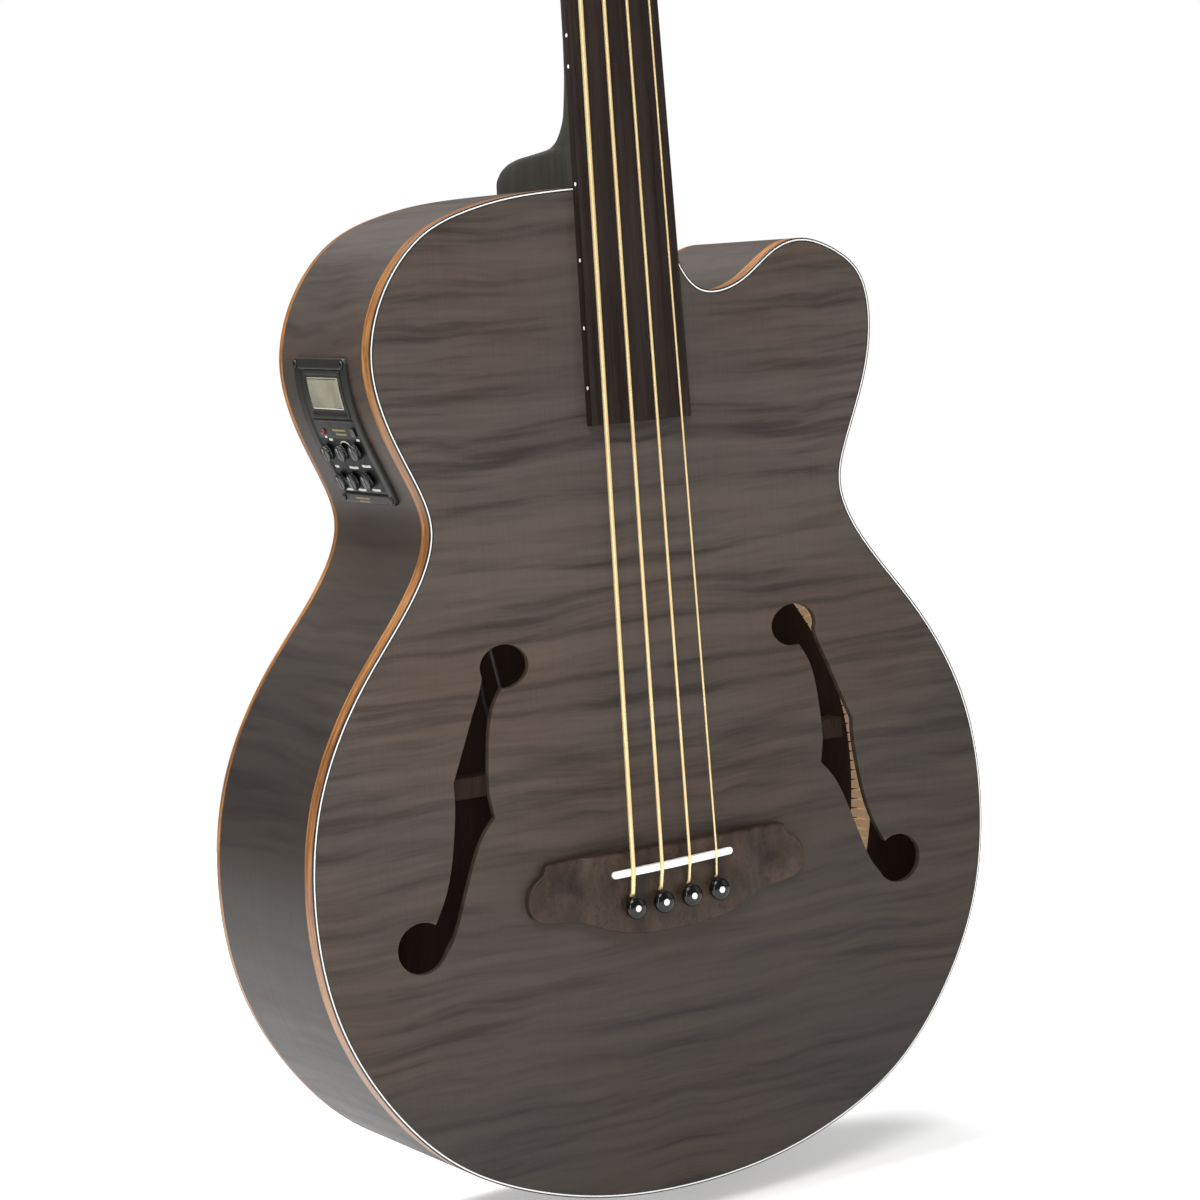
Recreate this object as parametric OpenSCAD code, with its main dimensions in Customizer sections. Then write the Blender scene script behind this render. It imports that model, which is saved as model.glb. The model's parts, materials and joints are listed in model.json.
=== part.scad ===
// Fretless acoustic-electric bass guitar: four strings, single rounded cutaway, two f-holes,
// side-mounted preamp and an end-pin output jack.
// X runs across the body towards the thinnest string, Y from the front to the back, and Z up
// the neck. The origin is the mouth of the output jack. place() holds the offset: inside it,
// y = 0 is the face of the soundboard and z = 0 is the tail end of the body.

/* [Scale and strings] */
// Vibrating length of the strings, nut to saddle
scale_length = 864; // [852:1:876]
// Height of the saddle above the tail end
saddle_z = 180; // [178:1:182]
// Distance between neighbouring strings at the saddle
saddle_spacing = 17.7; // [16.5:0.1:18]
// Distance between neighbouring strings at the nut
nut_spacing = 10.6; // [10:0.1:11]
// Rise of the saddle per unit of width, towards the thinnest string
saddle_slant = 0.03; // [0.02:0.001:0.06]
// How far the bridge sits off the body's middle, towards the thickest string
bridge_shift = 2.2; // [0:0.1:3]
// Height of the saddle's crown above the soundboard
saddle_crown = 10.6; // [10.2:0.1:11.5]

/* [Body] */
// Depth of the body at the tail
tail_depth = 127.5; // [122:0.5:132]
// Depth of the body at the neck joint
shoulder_depth = 104.4; // [100:0.1:110]
// Thickness of the soundboard
top_t = 4; // [3:0.5:4.5]
// Thickness of the back
back_t = 3.5; // [3:0.5:4]
// Thickness of the ribs
rib_t = 3; // [2.5:0.5:3.5]
// Thickness of the wooden binding and width of the lines that cap it on the front
binding_w = 2.2; // [1.8:0.1:2.4]
// Height of the wooden binding on the ribs
binding_h = 9.5; // [8:0.5:10]

/* [Neck] */
// Width of the fingerboard at the nut
nut_width = 43; // [42:0.5:44]
// Width of the fingerboard at its body end
board_end_width = 61.7; // [60:0.1:63]
// Length of the fingerboard from the nut
board_length = 627; // [620:1:632]
// Thickness of the fingerboard on its centre line
board_t = 7; // [6.5:0.1:7.5]
// Angle of the headstock behind the neck
head_tilt = 13; // [10:0.5:15]

/* [Preamp] */
// Height of the preamp panel along the rib
panel_h = 78; // [76:0.5:80]
// Width of the preamp panel across the rib
panel_w = 60.5; // [59:0.5:62]
// Radius of a control knob
knob_r = 4.8; // [4.4:0.1:5.2]
// Radius of the output jack's socket, for a quarter-inch plug
jack_r = 3.25; // [3.2:0.01:3.3]

/* [Hidden] */
$fn = 48;

body_length = 542;
jack_depth = 63.5;
jack_out = 14;
back_binding_h = 5;
line_w = 0.75;
line_t = 0.8;
clearance = 0.3;
running_gap = 0.05;

nut_z = saddle_z + scale_length;
board_end_z = nut_z - board_length;
back_slope = (tail_depth - shoulder_depth) / body_length;

// Outline of the body seen from the front: (x, z) points that the rim passes through, from
// the bass side of the neck joint round the tail to the corner of the cutaway.
rim_points = [[-30, 542], [-62, 540], [-90, 535], [-117, 525], [-138, 506], [-151, 482],
    [-155, 455], [-148, 425], [-135, 396], [-128.5, 371], [-138, 345], [-158, 318],
    [-182, 286], [-203, 242], [-211, 190], [-205, 136], [-184, 88], [-150, 47], [-108, 21],
    [-56, 5], [0, 0], [56, 5], [108, 21], [150, 47], [184, 88], [205, 136], [211, 190],
    [203, 242], [182, 286], [158, 318], [138, 345], [128.5, 371], [135, 396], [147, 424],
    [154, 450], [154, 474], [146, 491], [130, 502], [112, 507], [93, 502], [74, 489],
    [56, 483], [42, 487], [32, 503], [28, 524], [28, 542]];
rim_steps = 6;

// One f-hole on the bass side: the sides of its slot, between the notches and the eyes
slot_outer = [[-104, 295], [-107, 285], [-111, 276], [-116, 264], [-126, 240]];
slot_outer_low = [[-126, 240], [-126, 228], [-128, 212], [-131, 196], [-136, 181], [-144, 166]];
slot_inner_low = [[-138, 151], [-131, 162], [-125, 177], [-119, 193], [-112, 208], [-103, 219]];
slot_inner = [[-103, 219], [-105, 230], [-105, 242], [-103, 262], [-99, 277], [-92, 288]];
upper_eye = [-91, 297];
lower_eye = [-151, 157.5];

// Half of the bridge's outline, round its treble end: (x, z) from the saddle's centre
bridge_half = [[0, 10], [40, 10.5], [69, 10.2], [75.5, 8.6], [77.8, 4.4], [82.5, 1], [86.5, -4.5],
    [87, -12], [83.5, -18], [75, -21.3], [60, -23.5], [47, -28], [36, -32], [21, -35], [0, -36]];

// Half of the headstock's outline: (x, s), with s measured up from the nut
head_half = [[21.5, 0], [24, 14], [33, 30], [41, 44], [43, 66], [41.5, 100], [38, 136],
    [35, 160], [27, 176], [12, 183], [0, 182]];
nut_t = 5.5;
head_t = 15;
veneer_t = 1.5;
head_z = nut_z + nut_t;

// Lobe of the heel, then the shaft of the neck: [z, width, depth behind the front plane, squareness, taper]
lobe_slices = [[body_length, 54, 104, 6, 0.1], [548, 54, 103.5, 6, 0.1],
    [553, 54, 99, 6, 0.1], [557, 54, 92, 5.5, 0.1], [560, 54, 79, 5, 0.1],
    [561.5, 54, 62, 4.5, 0.1]];
shaft_slices = [[561.5, 54, 62, 4.5, 0.1], [563.5, 54, 42, 4, 0.1], [569, 54, 32, 3.2, 0.08],
    [580, 53.7, 24.5, 2.5, 0.04], [615, 52.8, 17.5, 2.1, 0],
    [head_z - 16, 41.5, 15.5, 2.1, 0]];

string_r = [1.27, 1.02, 0.8, 0.57];
string_colour = "goldenrod";
crown_radius = 400;
bridge_t = 7.5;
wing_t = 4.5;
saddle_w = 3.8;
saddle_length = 76;
pin_offset = 19;
pin_r = 3;
pin_proud = 6.5;
pin_dot_seat = 5.8;
string_exit = 6.2;
nut_string_y = -8.6;

// Screws of the truss rod's cover, (x, s) on the headstock, and s of those in a tuner's plate
cover_screws = [[-10, 6], [10, 6], [0, 43]];
plate_screws = [-17, 11.5];

// Tuners: post centre (x, s) on the headstock for each string, and the winding's radius
post_at = [[-26, 52], [-22, 116], [22, 116], [26, 52]];
post_r = 5;
waist_r = 4.2;
post_out = 22;
wind_y = -9;
button_reach = 62;
wheel_r = 5.5;
worm_r = 3;
worm_drop = wheel_r + worm_r + clearance;
gear_depth = 6.5;

// Preamp on the bass-side rib: the panel's centre and slant, and its controls as [y, z]
panel_y = 55.5;
panel_z = 424.2;
panel_slant = 1;
panel_proud = 2.4;
panel_recess = 1;
housing_depth = 34;
control_z = 424.7;
battery_z = 412;
knob_upper = [[74.6, 414], [57.2, 414.3], [41, 414.8]];
knob_lower = [[74.8, 398.3], [61, 398.6], [44.3, 399]];
lcd_y = 54;
lcd_z = 445;
lcd_w = 35.5;
lcd_h = 16.5;
led_y = 70.8;
switch_y = 35.5;
switch_size = 4.6;

// ---------------------------------------------------------------- curves

// Point of a uniform cubic B-spline at its knot i, with straight-running ends
function knot(h, i) = i == 0 || i == len(h) - 1 ? h[i] : (h[i - 1] + 4 * h[i] + h[i + 1]) / 6;

// Poles that make the B-spline pass through the points p
function poles(p, h, rounds) = rounds == 0 ? h :
    poles(p, [for (i = [0 : len(p) - 1]) h[i] + p[i] - knot(h, i)], rounds - 1);

function pole(h, i) = i < 0 ? 2 * h[0] - h[1] :
    i >= len(h) ? 2 * h[len(h) - 1] - h[len(h) - 2] : h[i];

function segment_point(h, i, t) = (pow(1 - t, 3) * pole(h, i - 1)
    + (3 * pow(t, 3) - 6 * t * t + 4) * pole(h, i)
    + (3 * t * t - 3 * pow(t, 3) + 3 * t + 1) * pole(h, i + 1)
    + pow(t, 3) * pole(h, i + 2)) / 6;

// Smooth open curve through the points p, with a number of steps between neighbours
function smooth(p, steps) = let (h = poles(p, p, 14))
    [for (i = [0 : len(p) - 2], k = [0 : steps - 1]) segment_point(h, i, k / steps),
        p[len(p) - 1]];

function mirrored(p) = [for (i = [len(p) - 2 : -1 : 1]) [-p[i][0], p[i][1]]];

function oval(c, a, b, n) = [for (i = [0 : n - 1])
    [c[0] + a * cos(360 * i / n), c[1] + b * sin(360 * i / n)]];

// Half superellipse below the line y = 0, narrowing with depth
function u_section(w, d, power, taper, n) = [for (i = [0 : n])
    let (a = 180 * i / n, c = cos(a), y = pow(abs(sin(a)), 2 / power))
    [sign(c) * pow(abs(c), 2 / power) * w / 2 * (1 - taper * y), d * y]];

rim = smooth(rim_points, rim_steps);
// The bass-side rib from the waist to the shoulder as z against x, for the preamp
bass_rib = [for (i = [rim_steps * 10 : -1 : rim_steps * 4]) [rim[i][1], rim[i][0]]];
function rib_x(z) = lookup(z, bass_rib);
function rib_slope(z) = (rib_x(z + 3) - rib_x(z - 3)) / 6;

function depth_at(z) = tail_depth - back_slope * z;
function string_x(i, z) = (i - 1.5) * (saddle_spacing
    + (nut_spacing - saddle_spacing) * (z - saddle_z) / scale_length)
    - bridge_shift * (nut_z - z) / scale_length;
function crown(x) = saddle_crown - pow(x + bridge_shift, 2) / (2 * crown_radius);
function saddle_line(x) = saddle_z + saddle_slant * (x + bridge_shift);

// ---------------------------------------------------------------- helpers

module place() translate([0, -jack_depth, jack_out]) children();

// Extrudes an (x, z) outline through the body's depth, from y0 to y1
module slab(y0, y1) translate([0, y1, 0]) rotate([90, 0, 0]) linear_extrude(y1 - y0) children();

module outline(inset) offset(delta = -inset) polygon(rim);

module ring(outer, inner) {
    difference() {
        outline(outer);
        outline(inner);
    }
}

// Everything from the plane parallel to the back, a gap in front of it, to its far side
module behind(gap) {
    translate([0, tail_depth - gap, 0]) rotate([atan(back_slope), 0, 0])
        translate([-300, 0, -60]) cube([600, 80, 700]);
}

function unit(v) = v / norm(v);
function heading(p, i) = unit(p[min(i + 1, len(p) - 1)] - p[max(i - 1, 0)]);
function hoop(c, t, r, n) = let (u = unit(cross(t, [1, 0, 0])), v = cross(t, u))
    [for (k = [0 : n - 1]) c + r * (u * cos(360 * k / n) + v * sin(360 * k / n))];

// Round bar swept along a list of points that never runs straight along X
module bar(p, r, n = 10) {
    rows = len(p);
    polyhedron([for (i = [0 : rows - 1]) each hoop(p[i], heading(p, i), r, n)],
        concat([[for (k = [0 : n - 1]) k]],
            [for (i = [0 : rows - 2], k = [0 : n - 1])
                [i * n + k, (i + 1) * n + k, (i + 1) * n + (k + 1) % n]],
            [for (i = [0 : rows - 2], k = [0 : n - 1])
                [i * n + k, (i + 1) * n + (k + 1) % n, i * n + (k + 1) % n]],
            [[for (k = [n - 1 : -1 : 0]) (rows - 1) * n + k]]));
}

// Puts children on the bass-side rib with their +Z along its outward normal
module on_rib(at) {
    translate([rib_x(at[1]), at[0], at[1]]) rotate([0, atan2(-1, rib_slope(at[1])), 0])
        children();
}

// The preamp's outline as a block through the rib, a margin inside the panel's edge
module window(margin) {
    translate([-100, panel_y, panel_z]) rotate([panel_slant, 0, 0]) rotate([0, -90, 0])
        linear_extrude(100) offset(r = 3.5 - min(margin, 3)) offset(delta = min(margin, 3) - 3.5)
            square([panel_h - 2 * margin, panel_w - 2 * margin], center = true);
}

// A layer that follows the rib, from a distance outside it to one inside
module rib_layer(outside, inside) slab(15, 105) ring(-outside, inside);

// Puts children on the headstock's face: x across, +Z up the headstock, -Y out of its front
module on_head() translate([0, 0, head_z]) rotate([-head_tilt, 0, 0]) children();

module head_outline() {
    side = smooth(head_half, 4);
    polygon(concat(side, mirrored(side)));
}

module at_post(i) on_head() translate([post_at[i][0], 0, post_at[i][1]]) children();

function outward(i) = i < 2 ? -1 : 1;

// ---------------------------------------------------------------- body

module f_hole() {
    polygon(oval(upper_eye, 14.5, 11.5, 36));
    polygon(oval(lower_eye, 14.5, 13.5, 36));
    polygon(concat(smooth(slot_outer, 4), smooth(slot_outer_low, 4),
        smooth(slot_inner_low, 4), smooth(slot_inner, 4)));
}

module pin_hole(i) {
    x = string_x(i, saddle_z);
    translate([x, 0, saddle_line(x) - pin_offset]) {
        rotate([90, 0, 0]) cylinder(h = 60, r = pin_r + 0.1, center = true);
        translate([-1.7, -30, 0]) cube([3.4, 60, string_exit + 1.7]);
    }
}

module soundboard() color("dimgray") place() {
    difference() {
        slab(0, top_t) difference() {
            outline(binding_w);
            f_hole();
            mirror([1, 0]) f_hole();
        }
        for (i = [0 : 3]) pin_hole(i);
    }
}

module back_plate() color("dimgray") place() {
    difference() {
        intersection() {
            slab(60, 160) outline(binding_w);
            behind(back_t);
        }
        behind(0);
    }
}

module ribs() color("dimgray") place() {
    difference() {
        slab(top_t, 160) ring(0, rib_t);
        slab(0, binding_h) ring(-1, binding_w);
        behind(back_t);
        intersection() {
            slab(60, 160) ring(-1, binding_w);
            behind(back_binding_h);
        }
        window(5);
        corner_holes();
        translate([0, jack_depth, -1]) cylinder(h = 10, r = 7.3);
    }
}

module front_binding() color("peru") place() slab(line_t, binding_h) ring(0, binding_w);

module white_purfling() color("white") place() slab(0, line_t) ring(line_w, binding_w - line_w);

module black_purfling() color("black") place() slab(0, line_t) {
    ring(0, line_w);
    ring(binding_w - line_w, binding_w);
}

module back_binding() color("peru") place() {
    difference() {
        intersection() {
            slab(60, 160) ring(0, binding_w);
            behind(back_binding_h);
        }
        behind(0);
    }
}

module block_space() {
    slab(0, 160) translate([-40, body_length - 62]) square([80, 70]);
    slab(0, 160) translate([-40, -1]) square([80, 27]);
}

module linings() color("burlywood") place() {
    difference() {
        slab(top_t, top_t + 12) ring(rib_t, rib_t + 6);
        block_space();
    }
    difference() {
        intersection() {
            slab(60, 160) ring(rib_t, rib_t + 6);
            behind(back_t + 12);
        }
        behind(back_t);
        block_space();
    }
}

module neck_block() color("burlywood") place() {
    difference() {
        intersection() {
            slab(top_t, 160) outline(rib_t);
            slab(0, 160) translate([-38, body_length - 60]) square([76, 70]);
        }
        behind(back_t);
    }
}

module tail_block() color("burlywood") place() {
    difference() {
        intersection() {
            slab(top_t, 160) outline(rib_t);
            slab(0, 160) translate([-38, -1]) square([76, 25]);
        }
        behind(back_t);
        translate([0, jack_depth, -1]) cylinder(h = 40, r = 7.3);
    }
}

// Straight brace under the soundboard, centred on x and z
module top_brace(x, z, w, h) {
    translate([x - w / 2, top_t, z - h / 2]) cube([w, 13, h]);
}

module top_braces() color("burlywood") place() {
    top_brace(0, 100, 352, 9);
    top_brace(0, 325, 268, 9);
    top_brace(0, 440, 270, 9);
    for (x = [-62, 62]) top_brace(x, 212.5, 8, 216);
}

module back_braces() color("burlywood") place() {
    for (b = [[80, 150], [218, 188], [360, 110], [450, 132]]) {
        difference() {
            intersection() {
                translate([-b[1], 60, b[0] - 6]) cube([2 * b[1], 80, 12]);
                behind(back_t + 14);
            }
            behind(back_t);
        }
    }
}

module bridge_plate() color("burlywood") place() {
    difference() {
        slab(top_t, top_t + 3) translate([-50, 142]) square([100, 46]);
        for (i = [0 : 3]) pin_hole(i);
    }
}

// ---------------------------------------------------------------- neck

module neck_slice(s) {
    translate([0, 0, s[0]]) linear_extrude(0.5)
        polygon(u_section(s[1], s[2], s[3], s[4], 28));
}

module strap_seat(inner, reach, r) {
    translate([inner, 58, body_length + 9]) rotate([0, 90, 0]) cylinder(h = reach, r = r);
}

module neck() color("darkslategray") place() {
    difference() {
        union() {
            hull() for (s = lobe_slices) neck_slice(s);
            for (i = [0 : len(shaft_slices) - 2]) {
                hull() {
                    neck_slice(shaft_slices[i]);
                    neck_slice(shaft_slices[i + 1]);
                }
            }
            hull() {
                neck_slice([head_z - 16, 41.5, 15.5, 2.1, 0]);
                neck_slice([head_z - 0.5, 43, 17, 2.4, 0]);
                on_head() translate([-21.5, veneer_t, 3]) cube([43, head_t - veneer_t, 12]);
            }
            on_head() slab(veneer_t, head_t) head_outline();
        }
        slab(-30, 0) translate([-60, 500]) square([120, 800]);
        on_head() slab(-10, veneer_t) translate([-60, 0]) square([120, 250]);
        translate([-3.2, -1, 575]) cube([6.4, 10.2, nut_z - 575 + 40]);
        for (i = [0 : 3]) at_post(i) {
            rotate([90, 0, 0]) cylinder(h = 60, r = post_r + 2.2, center = true);
            plate_holes(1.2);
        }
        on_head() cover_holes(1.3);
        strap_seat(21, 20, 8);
        strap_seat(0, 30, 1.6);
    }
}

module fingerboard() color("#332c2c") place() {
    difference() {
        intersection() {
            slab(-board_t, 0) polygon([[-board_end_width / 2, board_end_z],
                [board_end_width / 2, board_end_z], [nut_width / 2, nut_z],
                [-nut_width / 2, nut_z]]);
            translate([0, crown_radius - board_t, board_end_z - 1])
                cylinder(h = board_length + 2, r = crown_radius, $fn = 400);
        }
        dot_rods(1.02);
    }
}

function fret_z(n) = saddle_z + scale_length * pow(2, -n / 12);
function board_edge(z) = (nut_width + (board_end_width - nut_width)
    * (nut_z - z) / board_length) / 2;

// Position markers in the bass edge of the fingerboard
module dot_rods(r) {
    for (z = concat([for (n = [3, 5, 7, 9, 15, 17, 19, 21]) fret_z(n)],
        [fret_z(12) - 8, fret_z(12) + 8]))
        translate([-board_edge(z) - 0.05, -3, z]) rotate([0, 90, 0]) cylinder(h = 2, r = r);
}

module side_dots() color("white") place() dot_rods(1);

module truss_rod() color("silver") place() {
    translate([0, 4.5, 580]) cylinder(h = nut_z - 580 + 2, r = 3);
    translate([0, 4.5, nut_z + 2]) cylinder(h = 8, r = 3, $fn = 6);
}

module nut() color("ivory") place() {
    difference() {
        translate([-nut_width / 2, -9, nut_z]) cube([nut_width, 9, nut_t]);
        for (i = [0 : 3]) {
            x = string_x(i, nut_z);
            translate([x, nut_string_y, nut_z - 1]) cylinder(h = 8, r = string_r[i] + 0.06);
            translate([x - string_r[i] - 0.06, nut_string_y - 5, nut_z - 1])
                cube([2 * string_r[i] + 0.12, 5, 8]);
        }
    }
}

module headstock_veneer() color("#332c2c") place() on_head() {
    difference() {
        slab(0, veneer_t) head_outline();
        for (i = [0 : 3]) translate([post_at[i][0], 0, post_at[i][1]]) rotate([90, 0, 0])
            cylinder(h = 20, r = post_r + 2.2, center = true);
        translate([-5, -5, -1]) cube([10, 10, 26]);
        cover_holes(1.3);
    }
}

module cover_holes(r) {
    for (at = cover_screws) translate([at[0], 0, at[1]]) rotate([90, 0, 0])
        cylinder(h = 12, r = r, center = true);
}

module truss_rod_cover() color("black") place() on_head() {
    difference() {
        slab(-2, 0) offset(r = 4) offset(delta = -4)
            polygon([[-13, 2.5], [13, 2.5], [9, 40], [0, 50], [-9, 40]]);
        cover_holes(1.6);
    }
}

module strap_button() color("silver") place() {
    strap_seat(21.2, 1.6, 6.6);
    strap_seat(22.8, 7, 4.2);
    strap_seat(29.8, 3, 7);
    strap_seat(2, 20, 1.5);
}

// ---------------------------------------------------------------- bridge and strings

module bridge_outline() {
    side = smooth(bridge_half, 4);
    polygon(concat(side, mirrored(side)));
}

module bridge() color("#40332e") place() translate([-bridge_shift, 0, saddle_z]) {
    difference() {
        intersection() {
            slab(-bridge_t, 0) bridge_outline();
            translate([0, 0, -50]) linear_extrude(80) polygon([[-100, 0], [-100, -wing_t],
                [-56, -wing_t], [-49, -bridge_t], [49, -bridge_t], [56, -wing_t],
                [100, -wing_t], [100, 0]]);
        }
        rotate([0, -atan(saddle_slant), 0]) translate([0, -6, 0])
            saddle_bar(saddle_length + 0.1, saddle_w + 0.1, 12);
        translate([bridge_shift, 0, -saddle_z]) for (i = [0 : 3]) pin_hole(i);
    }
}

// Upright bar with round ends, centred on the saddle line
module saddle_bar(length, width, height) {
    translate([0, height / 2, 0]) rotate([90, 0, 0]) linear_extrude(height) {
        square([length - width, width], center = true);
        for (s = [-1, 1]) translate([s * (length - width) / 2, 0]) circle(d = width);
    }
}

module saddle() color("ivory") place() translate([-bridge_shift, 0, saddle_z])
    rotate([0, -atan(saddle_slant), 0]) {
        intersection() {
            translate([0, -7.5, 0]) saddle_bar(saddle_length, saddle_w, 12);
            translate([0, crown_radius - saddle_crown, -10])
                cylinder(h = 20, r = crown_radius, $fn = 400);
        }
    }

module saddle_pickup() color("silver") place() translate([-bridge_shift, 0, saddle_z])
    rotate([0, -atan(saddle_slant), 0])
        translate([-34, -1.4, -1.5]) cube([68, 1.3, 3]);

module bridge_pins() color("black") place() {
    for (i = [0 : 3]) {
        x = string_x(i, saddle_z);
        translate([x, -bridge_t, saddle_line(x) - pin_offset]) rotate([90, 0, 0])
            rotate_extrude() polygon([[0, -24], [2.4, -24], [pin_r, 0], [4.6, 0], [4.6, 1.2],
                [3.5, 1.6], [3.5, 2.2], [6, 3.3], [6, 5], [4.9, 6.1], [1.8, pin_proud],
                [1.8, pin_dot_seat], [0, pin_dot_seat]]);
    }
}

module pin_dots() color("white") place() {
    for (i = [0 : 3]) {
        x = string_x(i, saddle_z);
        translate([x, -bridge_t - pin_dot_seat, saddle_line(x) - pin_offset])
            rotate([90, 0, 0]) cylinder(h = 0.9, r = 1.75);
    }
}

// Where string i leaves the nut's back edge for its tuner post, in row axes
function winding_x(i) = post_at[i][0] - outward(i) * (post_r + string_r[i]);
function head_point(x, y, s) = [x, y * cos(head_tilt) + s * sin(head_tilt),
    head_z - y * sin(head_tilt) + s * cos(head_tilt)];

module string(i) color(string_colour) place() {
    r = string_r[i];
    x = string_x(i, saddle_z);
    peg_z = saddle_line(x) - pin_offset + string_exit;
    peak = -crown(x) - r - 0.12;
    bar([[x, 9.5, peg_z], [x, 2 - bridge_t, peg_z], [x, -bridge_t - 0.6, peg_z + 0.4],
        [x, -bridge_t - 1.5, peg_z + 1.4], [x, peak + 0.5, saddle_line(x) - 2.6],
        [x, peak, saddle_line(x) - 1], [x, peak, saddle_line(x) + 1.2],
        [string_x(i, nut_z), nut_string_y, nut_z + 0.2],
        [string_x(i, nut_z), nut_string_y, nut_z + nut_t - 0.6],
        head_point(string_x(i, nut_z), wind_y + 0.4, 3),
        head_point(winding_x(i), wind_y, post_at[i][1])], r);
    translate([x, 9.6, peg_z]) rotate([0, 90, 0]) cylinder(h = 5, r = 2.4, center = true);
}

module string_e() string(0);
module string_a() string(1);
module string_d() string(2);
module string_g() string(3);

// ---------------------------------------------------------------- tuners

module tuner_post(i) color("silver") place() at_post(i) rotate([90, 0, 0]) {
    difference() {
        rotate_extrude() polygon([[0, -head_t - 8], [wheel_r, -head_t - 8],
            [wheel_r, -head_t - 4], [post_r, -head_t - 4], [post_r, 4.6], [post_r, 6],
            [waist_r, 7], [waist_r, 16.5], [post_r + 0.2, 18],
            [post_r + 0.2, post_out - 0.8], [post_r - 0.6, post_out], [0, post_out]]);
        translate([0, 0, post_out - 6]) cylinder(h = 7, r = 1.8);
        translate([-1.3, -8, post_out - 5]) cube([2.6, 16, 6]);
    }
}

module tuner_post_e() tuner_post(0);
module tuner_post_a() tuner_post(1);
module tuner_post_d() tuner_post(2);
module tuner_post_g() tuner_post(3);

// Turns of string on a post: rings on its waist, above the point where the string arrives
module string_wrap(i) color(string_colour) place() at_post(i) rotate([90, 0, 0]) {
    r = string_r[i];
    turns = i < 2 ? 2 : 3;
    for (k = [1 : turns]) translate([0, 0, 2.25 * r * k - wind_y])
        rotate_extrude() translate([waist_r + 0.05 + r, 0]) circle(r);
}

module string_wrap_e() string_wrap(0);
module string_wrap_a() string_wrap(1);
module string_wrap_d() string_wrap(2);
module string_wrap_g() string_wrap(3);

module plate_holes(r) {
    for (s = plate_screws) translate([0, head_t + 4, s]) rotate([90, 0, 0])
        cylinder(h = 12, r = r);
}

module tuner_plates() color("silver") place() {
    for (i = [0 : 3]) at_post(i) {
        side = outward(i);
        difference() {
            union() {
                translate([-9, head_t, -19]) cube([18, 1.2, 33]);
                translate([-8, head_t, -14.5]) cube([16, 12.5, 23]);
            }
            translate([-6.6, head_t - 1, -12.6]) cube([13.2, 12, 19.6]);
            translate([0, head_t + gear_depth, -worm_drop]) rotate([0, side * 90, 0])
                cylinder(h = 30, r = 2.05);
            translate([0, head_t + 4, 0]) rotate([90, 0, 0])
                cylinder(h = 10, r = post_r + running_gap);
            plate_holes(1.3);
        }
    }
}

module tuner_bushings() color("silver") place() {
    for (i = [0 : 3]) at_post(i) rotate([90, 0, 0]) difference() {
        union() {
            translate([0, 0, -head_t]) cylinder(h = head_t, r = post_r + 2);
            cylinder(h = 1.6, r = post_r + 4);
            cylinder(h = 3.6, r = post_r + 2.6, $fn = 6);
        }
        translate([0, 0, -head_t - 1]) cylinder(h = 30, r = post_r + running_gap);
    }
}

module tuner_button(i) color("black") place() at_post(i)
    translate([0, head_t + gear_depth, -worm_drop]) rotate([0, outward(i) * 90, 0]) {
        translate([0, 0, -6]) cylinder(h = 12, r = worm_r);
        cylinder(h = button_reach - abs(post_at[i][0]) - 12, r = 2);
        translate([0, 0, button_reach - abs(post_at[i][0]) - 22]) {
            rotate_extrude() polygon([[0, 0], [3.2, 0], [4.4, 2], [3.6, 6], [0, 6]]);
            translate([0, 0, 16]) rotate([90, 0, 0]) translate([0, 0, -3]) linear_extrude(6)
                polygon(oval([0, 0], 13, 11, 40));
        }
    }

module tuner_button_e() tuner_button(0);
module tuner_button_a() tuner_button(1);
module tuner_button_d() tuner_button(2);
module tuner_button_g() tuner_button(3);

module screw(r) {
    rotate_extrude() polygon([[0, -5], [r * 0.5, -5], [r * 0.5, 0], [r, 0], [r, 0.4],
        [r * 0.5, 0.9], [0, 0.95]]);
}

module small_screws() color("black") place() {
    for (i = [0 : 3]) for (s = plate_screws) at_post(i)
        translate([0, head_t + 1.25, s]) rotate([-90, 0, 0]) screw(2.2);
    on_head() for (at = cover_screws) translate([at[0], -2.05, at[1]]) rotate([90, 0, 0])
        screw(2.4);
    for (at = panel_corners()) on_rib(at) translate([0, 0, panel_proud + 0.1]) screw(1.9);
}

// ---------------------------------------------------------------- preamp

function panel_point(across, up) = [panel_y + across * cos(panel_slant) - up * sin(panel_slant),
    panel_z + across * sin(panel_slant) + up * cos(panel_slant)];
function panel_corners() = [for (a = [-1, 1], b = [-1, 1])
    panel_point(a * (panel_w / 2 - 3.2), b * (panel_h / 2 - 3.2))];

module corner_holes() {
    for (at = panel_corners()) on_rib(at) cylinder(h = 20, r = 1.1, center = true);
}

module preamp_panel() color("#2b2b2b") place() {
    difference() {
        intersection() {
            rib_layer(panel_proud, 0);
            window(0);
        }
        intersection() {
            rib_layer(panel_proud + 1, -panel_proud + panel_recess);
            window(6);
        }
        for (at = concat(knob_upper, knob_lower)) on_rib(at)
            cylinder(h = 20, r = 2 + running_gap, center = true);
        on_rib([led_y, control_z]) cylinder(h = 20, r = 1.6, center = true);
        on_rib([switch_y, control_z]) cube([switch_size + 0.2, switch_size + 0.2, 20], center = true);
        on_rib([lcd_y, lcd_z]) cube([lcd_h + 0.2, lcd_w + 0.2, 20], center = true);
        corner_holes();
    }
}

module preamp_housing() color("#222222") place() {
    difference() {
        intersection() {
            rib_layer(-0.1, housing_depth);
            window(5.4);
        }
        intersection() {
            rib_layer(1, housing_depth - 2);
            window(7.4);
        }
    }
}

module circuit_board() color("darkgreen") place() {
    intersection() {
        rib_layer(-9, 10.6);
        window(7.7);
    }
}

module battery() color("dimgray") place() on_rib([panel_y, battery_z])
    translate([-12, -22, -28]) cube([24, 44, 14]);

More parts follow.
